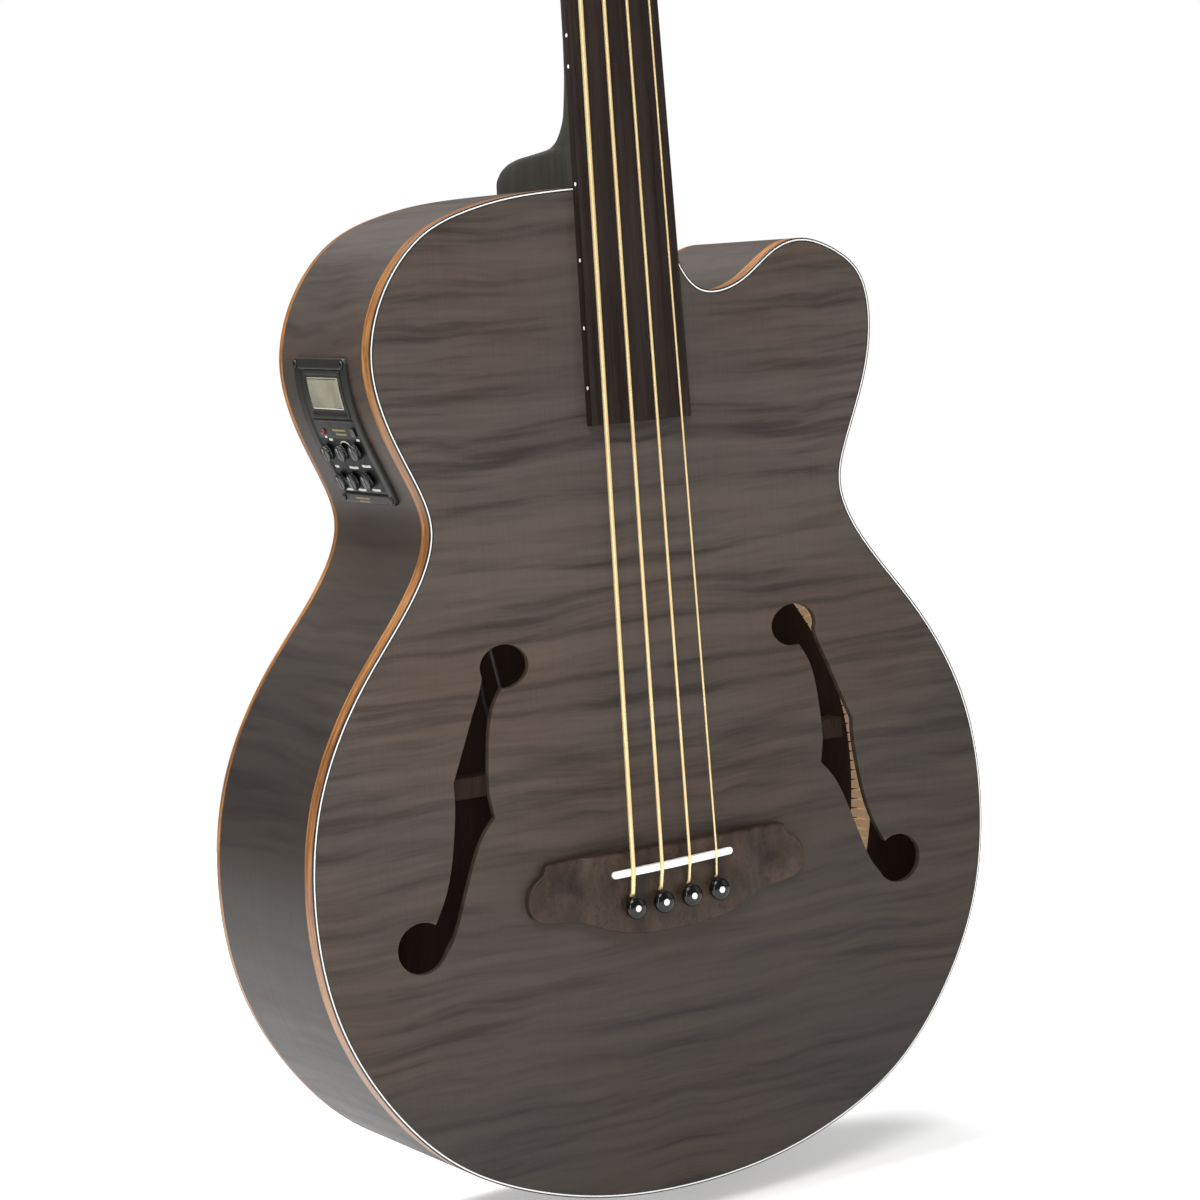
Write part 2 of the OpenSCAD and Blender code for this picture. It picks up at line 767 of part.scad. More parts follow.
module lcd_screen() color("#8e8c78") place() on_rib([lcd_y, lcd_z])
    translate([0, 0, -0.6]) cube([lcd_h, lcd_w, 3], center = true);

module led_lamp() color("red") place() on_rib([led_y, control_z]) {
    translate([0, 0, -2]) cylinder(h = 4, r = 1.5);
    translate([0, 0, 2]) sphere(1.5);
}

module tuner_switch() color("black") place() on_rib([switch_y, control_z]) {
        translate([0, 0, 1.9]) cube([switch_size, switch_size, 1.8], center = true);
        translate([0, 0, -4]) cylinder(h = 5.5, r = 1.2);
    }

// Control knob with a grooved skirt and a shaft through the panel
module knob(at) color("black") place() on_rib(at) {
    translate([0, 0, -7]) cylinder(h = 9.5, r = 2);
    translate([0, 0, panel_proud]) rotate_extrude() polygon([[0, 0], [knob_r, 0],
        [knob_r, 2.3], [knob_r - 0.6, 3.1], [0, 3.2]]);
}

module knob_volume() knob(knob_upper[0]);
module knob_tone() knob(knob_upper[1]);
module knob_presence() knob(knob_upper[2]);
module knob_bass() knob(knob_lower[0]);
module knob_middle() knob(knob_lower[1]);
module knob_treble() knob(knob_lower[2]);

// ---------------------------------------------------------------- output

module output_jack() color("silver") {
    rotate_extrude() polygon([[jack_r, 0], [jack_r, 52], [6.6, 52], [6.6, jack_out + 26],
        [7, jack_out + 26], [7, jack_out - 0.1], [10.5, jack_out - 0.1],
        [10.5, jack_out - 2.5], [5.6, jack_out - 4], [5.6, 4.5], [8.2, 2.5], [8.2, 0]]);
}

module wiring() color("#222222") place() {
    bar(smooth([[-103, 62, 416], [-92, 66, 414], [-80, 74, 390], [-66, 86, 330], [-52, 92, 250],
        [-26, 80, 120], [-8, 68, 64], [0, jack_depth, 42]], 4), 1.4, 8);
    bar(smooth([[-103, 50, 416], [-94, 46, 408], [-90, 36, 364], [-86, 28, 316], [-79, 24, 270],
        [-70, 22, 230], [-54, 20, 205], [-45, 12, 196], [-43, 9.5, 190]], 4), 1, 8);
}

soundboard();
back_plate();
ribs();
front_binding();
white_purfling();
black_purfling();
back_binding();
linings();
neck_block();
tail_block();
top_braces();
back_braces();
bridge_plate();
neck();
fingerboard();
side_dots();
truss_rod();
truss_rod_cover();
nut();
headstock_veneer();
strap_button();
bridge();
saddle();
saddle_pickup();
bridge_pins();
pin_dots();
string_e();
string_a();
string_d();
string_g();
tuner_plates();
tuner_bushings();
small_screws();
tuner_post_e();
tuner_post_a();
tuner_post_d();
tuner_post_g();
string_wrap_e();
string_wrap_a();
string_wrap_d();
string_wrap_g();
tuner_button_e();
tuner_button_a();
tuner_button_d();
tuner_button_g();
preamp_panel();
preamp_housing();
circuit_board();
battery();
lcd_screen();
led_lamp();
tuner_switch();
knob_volume();
knob_tone();
knob_presence();
knob_bass();
knob_middle();
knob_treble();
output_jack();
wiring();
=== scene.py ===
"""Looks of the fretless acoustic-electric bass guitar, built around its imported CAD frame.

Row frame, metres: X across the body to the thinnest string, -Y out of the front, +Z up the
neck. at() takes the CAD's own millimetres: y = 0 on the soundboard, z = 0 at the tail end.
"""
import json
import math

import bmesh
import bpy
import numpy as np
from mathutils import Matrix, Vector


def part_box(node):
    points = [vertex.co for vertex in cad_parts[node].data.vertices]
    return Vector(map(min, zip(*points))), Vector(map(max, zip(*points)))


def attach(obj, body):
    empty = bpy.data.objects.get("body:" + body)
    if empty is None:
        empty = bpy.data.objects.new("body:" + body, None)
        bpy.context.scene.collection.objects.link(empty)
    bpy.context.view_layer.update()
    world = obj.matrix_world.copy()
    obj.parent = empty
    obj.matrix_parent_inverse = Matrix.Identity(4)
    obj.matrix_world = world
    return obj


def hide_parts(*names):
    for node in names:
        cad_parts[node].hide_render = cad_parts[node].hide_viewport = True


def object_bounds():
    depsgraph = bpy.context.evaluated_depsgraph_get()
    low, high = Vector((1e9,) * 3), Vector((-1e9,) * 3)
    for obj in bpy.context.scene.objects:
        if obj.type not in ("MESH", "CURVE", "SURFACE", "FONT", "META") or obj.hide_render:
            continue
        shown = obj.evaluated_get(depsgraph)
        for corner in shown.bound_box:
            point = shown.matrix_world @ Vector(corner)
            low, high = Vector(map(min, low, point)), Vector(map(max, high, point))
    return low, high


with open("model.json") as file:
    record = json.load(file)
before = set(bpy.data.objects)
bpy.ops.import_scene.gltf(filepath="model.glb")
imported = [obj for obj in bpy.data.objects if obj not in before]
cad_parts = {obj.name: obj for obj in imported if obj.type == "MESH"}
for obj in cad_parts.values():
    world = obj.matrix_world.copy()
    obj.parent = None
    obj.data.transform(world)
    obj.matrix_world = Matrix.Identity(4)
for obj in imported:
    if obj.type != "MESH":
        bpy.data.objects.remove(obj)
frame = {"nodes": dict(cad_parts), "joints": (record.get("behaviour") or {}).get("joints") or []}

CAD_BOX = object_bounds()
JOINTS = {j["name"]: j for j in frame["joints"]}
NODES = frame["nodes"]
ROOT = "instrument"
STRINGS = ("e", "a", "d", "g")

MM = 0.001
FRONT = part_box("soundboard")[0].y
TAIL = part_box("front_binding")[0].z
SADDLE_Z = 180.0
NUT_Z = (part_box("nut")[0].z - TAIL) / MM
NUT_T = (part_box("nut")[1].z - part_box("nut")[0].z) / MM
HEAD_Z = NUT_Z + NUT_T
HEAD_TILT = math.radians(13)
BOARD_END_Z = (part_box("fingerboard")[0].z - TAIL) / MM
BOARD_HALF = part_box("fingerboard")[1].x / MM
NUT_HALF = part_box("nut")[1].x / MM
BODY_LENGTH, TAIL_DEPTH, NECK_DEPTH = 542, 127.5, 104.4
BACK_SLOPE = (TAIL_DEPTH - NECK_DEPTH) / BODY_LENGTH
TOP_T, BACK_T = 4.0, 3.5
BINDING_W = 2.2
BINDING_H = 9.5
BACK_BINDING_H = 5.0
LINE_W = 0.75
LINE_T = 0.8
RIB_T = 3.0
BOARD_T = 7.0
CROWN_R = 400.0
HEAD_T = 15.0
VENEER_T = 1.5

BASS_SHOULDER = [(-30, 542), (-62, 540), (-90, 535), (-117, 525), (-138, 506), (-151, 482),
    (-155, 455), (-148, 425)]
LOWER_HALF = [(56, 5), (108, 21), (150, 47), (184, 88), (205, 136), (211, 190), (203, 242),
    (182, 286), (158, 318), (138, 345), (128.5, 371), (135, 396)]
CUTAWAY = [(147, 424), (154, 450), (154, 474), (146, 491), (130, 502), (112, 507), (93, 502),
    (74, 489), (56, 483), (42, 487), (32, 503), (28, 524), (28, 542)]
RIM_POINTS = (BASS_SHOULDER + [(-x, z) for x, z in LOWER_HALF[::-1]] + [(0, 0)] + LOWER_HALF
    + CUTAWAY)
SLOT_CURVES = ([(-104, 295), (-107, 285), (-111, 276), (-116, 264), (-126, 240)],
    [(-126, 240), (-126, 228), (-128, 212), (-131, 196), (-136, 181), (-144, 166)],
    [(-138, 151), (-131, 162), (-125, 177), (-119, 193), (-112, 208), (-103, 219)],
    [(-103, 219), (-105, 230), (-105, 242), (-103, 262), (-99, 277), (-92, 288)])
UPPER_EYE = (-91, 297, 14.5, 11.5)
LOWER_EYE = (-151, 157.5, 14.5, 13.5)
BRIDGE_HALF = [(0, 10), (40, 10.5), (69, 10.2), (75.5, 8.6), (77.8, 4.4), (82.5, 1),
    (86.5, -4.5), (87, -12), (83.5, -18), (75, -21.3), (60, -23.5), (47, -28), (36, -32), (21, -35),
    (0, -36)]
BRIDGE_SHIFT = 2.2
BRIDGE_T, WING_T = 7.5, 4.5
SADDLE_SPACING, NUT_SPACING = 17.7, 10.6
SADDLE_SLANT = 0.03
SADDLE_CROWN = 10.6
PIN_OFFSET, STRING_EXIT = 19.0, 6.2
HEAD_HALF = [(21.5, 0), (24, 14), (33, 30), (41, 44), (43, 66), (41.5, 100), (38, 136),
    (35, 160), (27, 176), (12, 183), (0, 182)]
RIM_STEPS = 12
STRING_R = (1.27, 1.02, 0.8, 0.57)
POST_AT = ((-26, 52), (-22, 116), (22, 116), (26, 52))
AT_NUT, AT_POST = -8.6, -9


# ---------------------------------------------------------------- places

def at(x, y, z):
    """CAD millimetres to the row frame."""
    return Vector((x * MM, FRONT + y * MM, TAIL + z * MM))


def on_head(x, y, s):
    """A point of the headstock: x across, y behind its face, s up from the nut."""
    c, t = math.cos(HEAD_TILT), math.sin(HEAD_TILT)
    return at(x, y * c + s * t, HEAD_Z - y * t + s * c)


def depth_at(z):
    """How far behind the front plane the back lies."""
    return TAIL_DEPTH - BACK_SLOPE * z


def string_x(i, z):
    """How far across the body string i passes at a height."""
    up = (z - SADDLE_Z) / (NUT_Z - SADDLE_Z)
    spacing = SADDLE_SPACING + (NUT_SPACING - SADDLE_SPACING) * up
    return (i - 1.5) * spacing - BRIDGE_SHIFT * (1 - up)


def saddle_line(x):
    return SADDLE_Z + SADDLE_SLANT * (x + BRIDGE_SHIFT)


def outward(i):
    """Which side of the headstock tuner i is on."""
    return -1 if i < 2 else 1


def smooth(points, steps):
    """The CAD's curve: a cubic B-spline through the points."""
    p = np.array(points, float)
    h = p.copy()
    for _ in range(14):
        k = h.copy()
        k[1:-1] = (h[:-2] + 4 * h[1:-1] + h[2:]) / 6
        h = h + p - k
    e = np.vstack([2 * h[0] - h[1], h, 2 * h[-1] - h[-2]])
    t = np.arange(steps) / steps
    w = np.stack([(1 - t) ** 3, 3 * t ** 3 - 6 * t * t + 4,
        3 * t + 3 * t * t - 3 * t ** 3 + 1, t ** 3], 1) / 6
    return np.vstack([w @ e[i:i + 4] for i in range(len(p) - 1)] + [p[-1:]])


def mirrored_loop(half, steps):
    side = smooth(half, steps)
    other = side[-2:0:-1] * (-1, 1) if abs(side[0][0]) < 1e-6 else side[-2::-1] * (-1, 1)
    return np.vstack([side, other])


def counter_clockwise(loop):
    x, y = loop[:, 0], loop[:, 1]
    area = (x * np.roll(y, -1) - y * np.roll(x, -1)).sum()
    return loop if area > 0 else loop[::-1].copy()


def unit(rows):
    """Rows scaled to length 1."""
    return rows / np.maximum(np.linalg.norm(rows, axis=1), 1e-9)[:, None]


def mitres(loop):
    """Inward vectors of a counter-clockwise loop, for offsets by a distance."""
    d = unit(np.roll(loop, -1, 0) - loop)
    n = np.stack([-d[:, 1], d[:, 0]], 1)
    before = np.roll(n, 1, 0)
    return (n + before) / np.maximum(1 + (n * before).sum(1), 0.3)[:, None]


def around(n):
    """n angles, evenly round a circle."""
    return np.arange(n) * 2 * math.pi / n


def oval(x, z, a, b):
    t = around(64)
    return np.stack([x + a * np.cos(t), z + b * np.sin(t)], 1)


def rounded_rectangle(w, h, r, n=8):
    """Counter-clockwise, centred, with n steps to a corner."""
    out = []
    for k, (sx, sy) in enumerate(((1, 1), (-1, 1), (-1, -1), (1, -1))):
        for i in range(n + 1):
            a = math.pi / 2 * (k + i / n)
            out.append((sx * (w / 2 - r) + r * math.cos(a), sy * (h / 2 - r) + r * math.sin(a)))
    return np.array(out)


RIM = smooth(RIM_POINTS, RIM_STEPS)
RIM_IN = mitres(RIM)
RIM_ARC = np.concatenate([[0], np.cumsum(np.linalg.norm(np.roll(RIM, -1, 0) - RIM, axis=1))])
BASS_RIB = RIM[RIM_STEPS * 4:RIM_STEPS * 10 + 1][::-1]


def on_rib(y, z, h):
    """A point h mm proud of the bass-side rib, at the CAD's depth y and height z."""
    x = np.interp(z, BASS_RIB[:, 1], BASS_RIB[:, 0])
    slope = (np.interp(z + 3, BASS_RIB[:, 1], BASS_RIB[:, 0])
        - np.interp(z - 3, BASS_RIB[:, 1], BASS_RIB[:, 0])) / 6
    n = math.hypot(1, slope)
    return at(x - h / n, y, z + h * slope / n)


# ---------------------------------------------------------------- meshes

def put(name, mesh, slot, *nodes, body=ROOT, sharp=35):
    """Links a mesh as a piece that rides on a body and stands for CAD nodes; slot is not used."""
    mesh.name = name
    mesh.polygons.foreach_set("use_smooth", [True] * len(mesh.polygons))
    mesh.set_sharp_from_angle(angle=math.radians(sharp))
    piece = bpy.data.objects.new(name, mesh)
    bpy.context.scene.collection.objects.link(piece)
    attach(piece, body)
    if nodes:
        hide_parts(*nodes)
    return piece


def build(verts, faces, mats, face_mats=None, uvs=None):
    mesh = bpy.data.meshes.new("mesh")
    mesh.from_pydata([tuple(v) for v in verts], [], [tuple(f) for f in faces])
    for m in mats:
        mesh.materials.append(m)
    if face_mats is not None:
        mesh.polygons.foreach_set("material_index", face_mats)
    if uvs is not None:
        layer = mesh.uv_layers.new(name="UVMap")
        layer.data.foreach_set("uv", np.array(uvs, np.float32).ravel())
    bm = bmesh.new()
    bm.from_mesh(mesh)
    bmesh.ops.recalc_face_normals(bm, faces=bm.faces)
    bm.to_mesh(mesh)
    bm.free()
    return mesh


def skin(rings, wrap=False, keep=None, column_mats=None):
    """Faces, materials and UVs (metres) for a stack of rings of row-frame points."""
    rings = np.array(rings, float)
    rows, cols = rings.shape[:2]
    along = np.linalg.norm(np.roll(rings, -1, 0) - rings, axis=2).mean(1)
    across = np.linalg.norm(np.roll(rings, -1, 1) - rings, axis=2).mean(0)
    u = np.concatenate([[0], np.cumsum(along)])
    v = np.concatenate([[0], np.cumsum(across)])
    faces, mats, uvs = [], [], []
    for i in range(rows if wrap else rows - 1):
        k = (i + 1) % rows
        for j in range(cols):
            m = (j + 1) % cols
            if keep is not None and not keep(i, j):
                continue
            faces.append((i * cols + j, i * cols + m, k * cols + m, k * cols + j))
            mats.append(column_mats[j] if column_mats else 0)
            uvs += [(u[i], v[j]), (u[i], v[j + 1]), (u[i + 1], v[j + 1]), (u[i + 1], v[j])]
    if not wrap:
        for i in (0, rows - 1):
            faces.append(tuple(i * cols + j for j in range(cols)))
            mats.append(0)
            uvs += [(u[i], v[j]) for j in range(cols)]
    return rings.reshape(-1, 3), faces, mats, uvs


def skinned(rings, mats, **options):
    verts, faces, face_mats, uvs = skin(rings, **options)
    return build(verts, faces, mats, face_mats, uvs)


def joined(meshes):
    """One mesh from several, each keeping its materials."""
    bm = bmesh.new()
    mats = []
    for m in meshes:
        start = len(bm.faces)
        bm.from_mesh(m)
        bm.faces.ensure_lookup_table()
        mats += [k for k in m.materials if k not in mats]
        for f in bm.faces[start:]:
            f.material_index = mats.index(m.materials[f.material_index])
    mesh = bpy.data.meshes.new("mesh")
    for k in mats:
        mesh.materials.append(k)
    bm.to_mesh(mesh)
    bm.free()
    return mesh


def basis(axis):
    """Two unit vectors across an axis."""
    a = Vector(axis).normalized()
    side = a.cross(Vector((0, 0, 1)) if abs(a.z) < 0.9 else Vector((1, 0, 0))).normalized()
    return side, a.cross(side)


def lathe(profile, origin, axis, mats, n=48, flute=None):
    """Rings of (radius, height) in mm about an axis; flute(angle, row) scales a radius."""
    a = Vector(axis).normalized()
    side, up = basis(a)
    rings = []
    for row, (r, h) in enumerate(profile):
        ring = []
        for k in range(n):
            t = 2 * math.pi * k / n
            q = r * (flute(t, row) if flute else 1) * MM
            ring.append(Vector(origin) + a * (h * MM) + (side * math.cos(t) + up * math.sin(t)) * q)
        rings.append(ring)
    return skinned(rings, mats)


def bend(a, b, c, reach, steps):
    """A short curve in place of the corner b of the path a, b, c."""
    to_a, to_c = a - b, c - b
    la, lc = np.linalg.norm(to_a), np.linalg.norm(to_c)
    s, e = b + to_a / la * min(reach, la * 0.45), b + to_c / lc * min(reach, lc * 0.45)
    return [(1 - t) ** 2 * s + 2 * t * (1 - t) * b + t * t * e
        for t in np.linspace(0, 1, steps + 1)]


def filleted(points, reach):
    """A polyline with each bend replaced by a short curve."""
    p = np.array([tuple(q) for q in points])
    inner = [q for k in range(1, len(p) - 1) for q in bend(*p[k - 1:k + 2], reach, 5)]
    return [p[0]] + inner + [p[-1]]


def tube(points, radius, mats, n):
    """A round bar of a radius in mm along row-frame points."""
    p = np.array([tuple(q) for q in points])
    d = unit(np.gradient(p, axis=0))
    side = np.cross(d[0], (0, 1, 0) if abs(d[0][1]) < 0.9 else (1, 0, 0))
    rings = []
    for q, t in zip(p, d):
        side = side - t * side.dot(t)
        side /= np.linalg.norm(side)
        other = np.cross(t, side)
        a = around(n)
        rings.append(q + radius * MM * (np.outer(np.cos(a), side) + np.outer(np.sin(a), other)))
    return skinned(rings, mats)


def slab(loop, profile, place, mats, cuts=()):
    """A solid from a flat loop: profile is (inset, height) from its foot to its top.

    cuts are (axis, positions) of extra edge lines, and place maps (u, v, height) to the row
    frame.
    """
    loop = counter_clockwise(np.array(loop, float))
    inward = mitres(loop)
    rings = [[(q[0], q[1], h) for q in loop + inset * inward] for inset, h in profile]
    verts, faces, _, _ = skin(rings)
    bm = bmesh.new()
    made = [bm.verts.new(v) for v in verts]
    for f in faces:
        bm.faces.new([made[i] for i in f])
    for axis, positions in cuts:
        normal = Vector((1, 0, 0)) if axis == 0 else Vector((0, 1, 0))
        for c in positions:
            bmesh.ops.bisect_plane(bm, geom=bm.verts[:] + bm.edges[:] + bm.faces[:],
                plane_co=normal * c, plane_no=normal, dist=1e-5)
    for v in bm.verts:
        v.co = Vector(place(v.co.x, v.co.y, v.co.z))
    bmesh.ops.recalc_face_normals(bm, faces=bm.faces)
    mesh = bpy.data.meshes.new("mesh")
    bm.to_mesh(mesh)
    bm.free()
    for m in mats:
        mesh.materials.append(m)
    return mesh


def edge_profile(height, r, foot=0.0, steps=4):
    """Profile of a slab with a rounded top edge, and a rounded foot if foot is not 0."""
    turn = [math.pi / 2 * k / steps for k in range(steps + 1)]
    low = [(foot * (1 - math.sin(a)), foot * (1 - math.cos(a))) for a in turn] if foot else [(0, 0)]
    return low + [(r * (1 - math.cos(a)), height - r * (1 - math.sin(a))) for a in turn]


def sweep_rim(profile, mats, column_mats=None, keep=None):
    """A closed section carried round the body; profile is (inset, y, share of depth)."""
    rings = []
    for p, m in zip(RIM, RIM_IN):
        ring = []
        for inset, y, share in profile:
            q = p + inset * m
            ring.append(at(q[0], y + share * depth_at(q[1]), q[1]))
        rings.append(ring)
    return skinned(rings, mats, wrap=True, column_mats=column_mats, keep=keep)


def flat_cut(loops, y0, y1, bevel, mats):
    """A board with holes and softened edges: loops of (x, z) between two depths."""
    curve = bpy.data.curves.new("cut", "CURVE")
    curve.dimensions = "2D"
    curve.fill_mode = "BOTH"
    curve.extrude = (y1 - y0) / 2 * MM - bevel * MM
    curve.bevel_depth = bevel * MM
    curve.bevel_resolution = 2
    for loop, sign in loops:
        p = counter_clockwise(np.array(loop, float))
        p = p + sign * bevel * mitres(p)
        spline = curve.splines.new("POLY")
        spline.points.add(len(p) - 1)
        for k, q in enumerate(p):
            spline.points[k].co = (q[0] * MM, q[1] * MM, 0, 1)
        spline.use_cyclic_u = True
    holder = bpy.data.objects.new("cut", curve)
    bpy.context.scene.collection.objects.link(holder)
    bpy.context.view_layer.update()
    graph = bpy.context.evaluated_depsgraph_get()
    mesh = bpy.data.meshes.new_from_object(holder.evaluated_get(graph))
    bpy.data.objects.remove(holder)
    upright = Matrix.Rotation(math.pi / 2, 4, "X")
    mesh.transform(Matrix.Translation(at(0, (y0 + y1) / 2, 0)) @ upright)
    mesh.materials.clear()
    for m in mats:
        mesh.materials.append(m)
    return mesh


def soften(node, width, mat, angle=40):
    """A CAD node that stays: its edges are eased and it gets its material."""
    o = NODES[node]
    weld = o.modifiers.new("weld", "WELD")
    weld.merge_threshold = 1e-6
    if width:
        bevel = o.modifiers.new("ease", "BEVEL")
        bevel.width = width * MM
        bevel.segments = 2
        bevel.limit_method = "ANGLE"
        bevel.angle_limit = math.radians(angle)
        bevel.harden_normals = False
    o.data.materials.clear()
    o.data.materials.append(mat)


# ---------------------------------------------------------------- materials

def tone(r, g, b):
    """Screen colour 0-255 to linear."""
    return tuple(((c / 255 + 0.055) / 1.055) ** 2.4 if c > 10 else c / 255 / 12.92
        for c in (r, g, b)) + (1.0,)


class Paint:
    """A node material built around one Principled shader."""

    def __init__(self, name, color=(0.5, 0.5, 0.5, 1), **sockets):
        self.mat = bpy.data.materials.new(name)
        self.mat.use_nodes = True
        self.tree = self.mat.node_tree
        self.shader = self.tree.nodes["Principled BSDF"]
        self.shader.inputs["Base Color"].default_value = color
        for key, value in sockets.items():
            self.shader.inputs[key.replace("_", " ")].default_value = value
        self.coord = self.tree.nodes.new("ShaderNodeTexCoord")
        self.object = self.coord.outputs["Object"]
        self.uv = self.coord.outputs["UV"]

    def node(self, kind, **inputs):
        """A new node with its inputs fed by name; an underscore stands for a space."""
        n = self.tree.nodes.new("ShaderNode" + kind)
        for key, value in inputs.items():
            self.feed(n.inputs[key.replace("_", " ")], value)
        return n

    def feed(self, socket, value):
        if isinstance(value, bpy.types.NodeSocket):
            self.tree.links.new(value, socket)
        else:
            socket.default_value = value

    def fed(self, kind, *values):
        """A new node with its inputs fed in order."""
        n = self.node(kind)
        for socket, value in zip(n.inputs, values):
            self.feed(socket, value)
        return n

    def math(self, op, a, b=0.0):
        n = self.fed("Math", a, b)
        n.operation = op
        return n.outputs[0]

    def add(self, a, b):
        return self.math("ADD", a, b)

    def less(self, a, b):
        return self.math("SUBTRACT", a, b)

    def mul(self, a, b):
        return self.math("MULTIPLY", a, b)

    def weigh(self, a, share, b):
        """share of a with the rest of b."""
        return self.add(self.mul(a, share), self.mul(b, 1 - share))

    def split(self, vector):
        return self.fed("SeparateXYZ", vector).outputs

    def vector(self, x, y, z):
        return self.fed("CombineXYZ", x, y, z).outputs[0]

    def noise(self, vector, scale, detail=3.0, rough=0.5, shift=(0, 0, 0), warp=0.0):
        place = self.node("Mapping", Vector=vector, Scale=scale, Location=shift)
        return self.node("TexNoise", Vector=place.outputs[0], Scale=1.0, Detail=detail,
            Roughness=rough, Distortion=warp).outputs["Fac"]

    def remap(self, value, low, high, to_low=0.0, to_high=1.0):
        return self.node("MapRange", Value=value, From_Min=low, From_Max=high, To_Min=to_low,
            To_Max=to_high).outputs["Result"]

    def ramp(self, value, *stops):
        n = self.node("ValToRGB", Fac=value)
        r = n.color_ramp
        while len(r.elements) < len(stops):
            r.elements.new(0.5)
        for e, (pos, color) in zip(r.elements, stops):
            e.position, e.color = pos, color
        return n.outputs["Color"]

    def mix(self, fac, a, b, mode="MIX"):
        n = self.node("Mix")
        n.data_type, n.blend_type = "RGBA", mode
        for k, value in ((0, fac), (6, a), (7, b)):
            self.feed(n.inputs[k], value)
        return n.outputs[2]

    def finish(self, color, gloss=None, bump=None):
        """Feeds the shader and returns the material.

        gloss is (value, lowest roughness, highest, the value's own range if not 0.3 to 0.7),
        and bump is (height, distance, strength).
        """
        self.feed(self.shader.inputs["Base Color"], color)
        if gloss:
            value, low, high, *spread = gloss
            spread = spread[0] if spread else (0.3, 0.7)
            self.feed(self.shader.inputs["Roughness"], self.remap(value, *spread, low, high))
        if bump:
            n = self.node("Bump", Height=bump[0], Distance=bump[1], Strength=bump[2])
            self.feed(self.shader.inputs["Normal"], n.outputs["Normal"])
        return self.mat


def maple(name, across, light, dark, lean, shade_fade, seed=0.0):
    """Figured maple under a see-through black stain.

    across says which coordinate runs across the grain: "x" on a plate, "uv" on the bent ribs.
    Painted shade darkens it towards the tail, and lean tips that painted shade across the body;
    the shade comes as (height in metres, share of the light) pairs.
    """
    m = Paint(name, Roughness=0.46, Specular_IOR_Level=0.22, Coat_Weight=0.03, Coat_Roughness=0.3,
        Coat_IOR=1.5)
    if across == "uv":
        u, v, _ = m.split(m.uv)
        x, y, z = m.split(m.object)
        a, g, depth = v, u, x
    else:
        x, y, z = m.split(m.object)
        a, g, depth = m.math("ABSOLUTE", x), z, y
    base = m.vector(a, g, m.add(m.mul(depth, 0.2), seed))
    wave = m.noise(base, (9, 14, 9), 2, 0.5, (3, 1, 0))
    bent = m.vector(a, m.add(g, m.mul(m.less(wave, 0.5), 0.02)), seed)
    broad = m.noise(bent, (6, 110, 1), 1, 0.4, (0, 4, 0), 0.2)
    fine = m.noise(bent, (22, 300, 1), 3, 0.6, (7, 2, 3), 0.2)
    figure = m.weigh(broad, 0.6, fine)
    patch = m.noise(base, (7, 8, 6), 2, 0.5, (11, 5, 2))
    strength = m.remap(m.noise(base, (11, 9, 5), 1, 0.5, (2, 8, 6)), 0.35, 0.65, 0.55, 1.15)
    shade = m.add(0.5, m.mul(m.less(figure, 0.5), strength))
    middle = tuple((d + l * 1.4) / 2.4 for d, l in zip(dark, light))
    body = m.ramp(shade, (0.36, dark), (0.47, middle), (0.60, light))
    tint = m.ramp(patch, (0.36, (0.93, 0.95, 1.04, 1)), (0.5, (1, 1, 1, 1)),
        (0.64, (1.12, 1.0, 0.9, 1)))
    body = m.mix(0.8, body, tint, "MULTIPLY")
    grain = m.noise(base, (620, 7, 1), 4, 0.7, (4, 4, 4))
    pore = m.noise(base, (1900, 60, 1), 2, 0.5, (9, 1, 4))
    lines = m.weigh(grain, 0.6, pore)
    streaks = m.ramp(lines, (0.38, (0.84, 0.83, 0.82, 1)), (0.58, (1.08, 1.08, 1.08, 1)))
    body = m.mix(0.3, body, streaks, "MULTIPLY")
    # painted shade: darker towards the tail, tipped across the body by lean
    height = m.less(z, m.mul(x, lean))
    painted_shade = m.ramp(height, *((h, (k, k, k, 1)) for h, k in shade_fade))
    body = m.mix(1.0, body, painted_shade, "MULTIPLY")
    return m.finish(body, (m.weigh(figure, 0.5, lines), 0.42, 0.52, (0.4, 0.6)),
        (lines, 0.00005, 0.3))


def plain_wood(name, light, dark, rough, grain, flecks=1.0, coat=0.0, bump=0.3, shine=0.35,
        painted_glow=0.0):
    """Straight-grained wood: streaks, pores and slow changes of colour along the grain."""
    # the glow is painted light: the wood emits a little of its light colour, though it is no lamp
    m = Paint(name, Roughness=rough, Specular_IOR_Level=shine, Coat_Weight=coat, Coat_Roughness=0.3,
        Emission_Color=light, Emission_Strength=painted_glow)
    x, y, z = m.split(m.object)
    base = m.vector(x, z, y)
    streak = m.noise(base, (grain[0] * 0.25, grain[1] * 0.6, grain[0] * 0.25), 3, 0.55, warp=0.2)
    fine = m.noise(base, (grain[0], grain[1], grain[0]), 4, 0.65, (5, 1, 2))
    slow = m.noise(base, (14, 10, 14), 2, 0.5, (2, 6, 1))
    pores = m.noise(base, (grain[0] * 4, grain[1] * 9, grain[0] * 4), 2, 0.5, (8, 3, 3))
    value = m.add(m.mul(streak, 0.45), m.add(m.mul(fine, 0.35), m.mul(slow, 0.2)))
    color = m.ramp(value, (0.38, dark), (0.62, light))
    color = m.mix(0.6 * flecks, color, m.ramp(pores, (0.34, (0.5, 0.45, 0.42, 1)),
        (0.44, (1, 1, 1, 1))), "MULTIPLY")
    return m.finish(color, (fine, rough - 0.06, rough + 0.08, (0.35, 0.65)),
        (m.mul(pores, fine), 0.00012, bump))


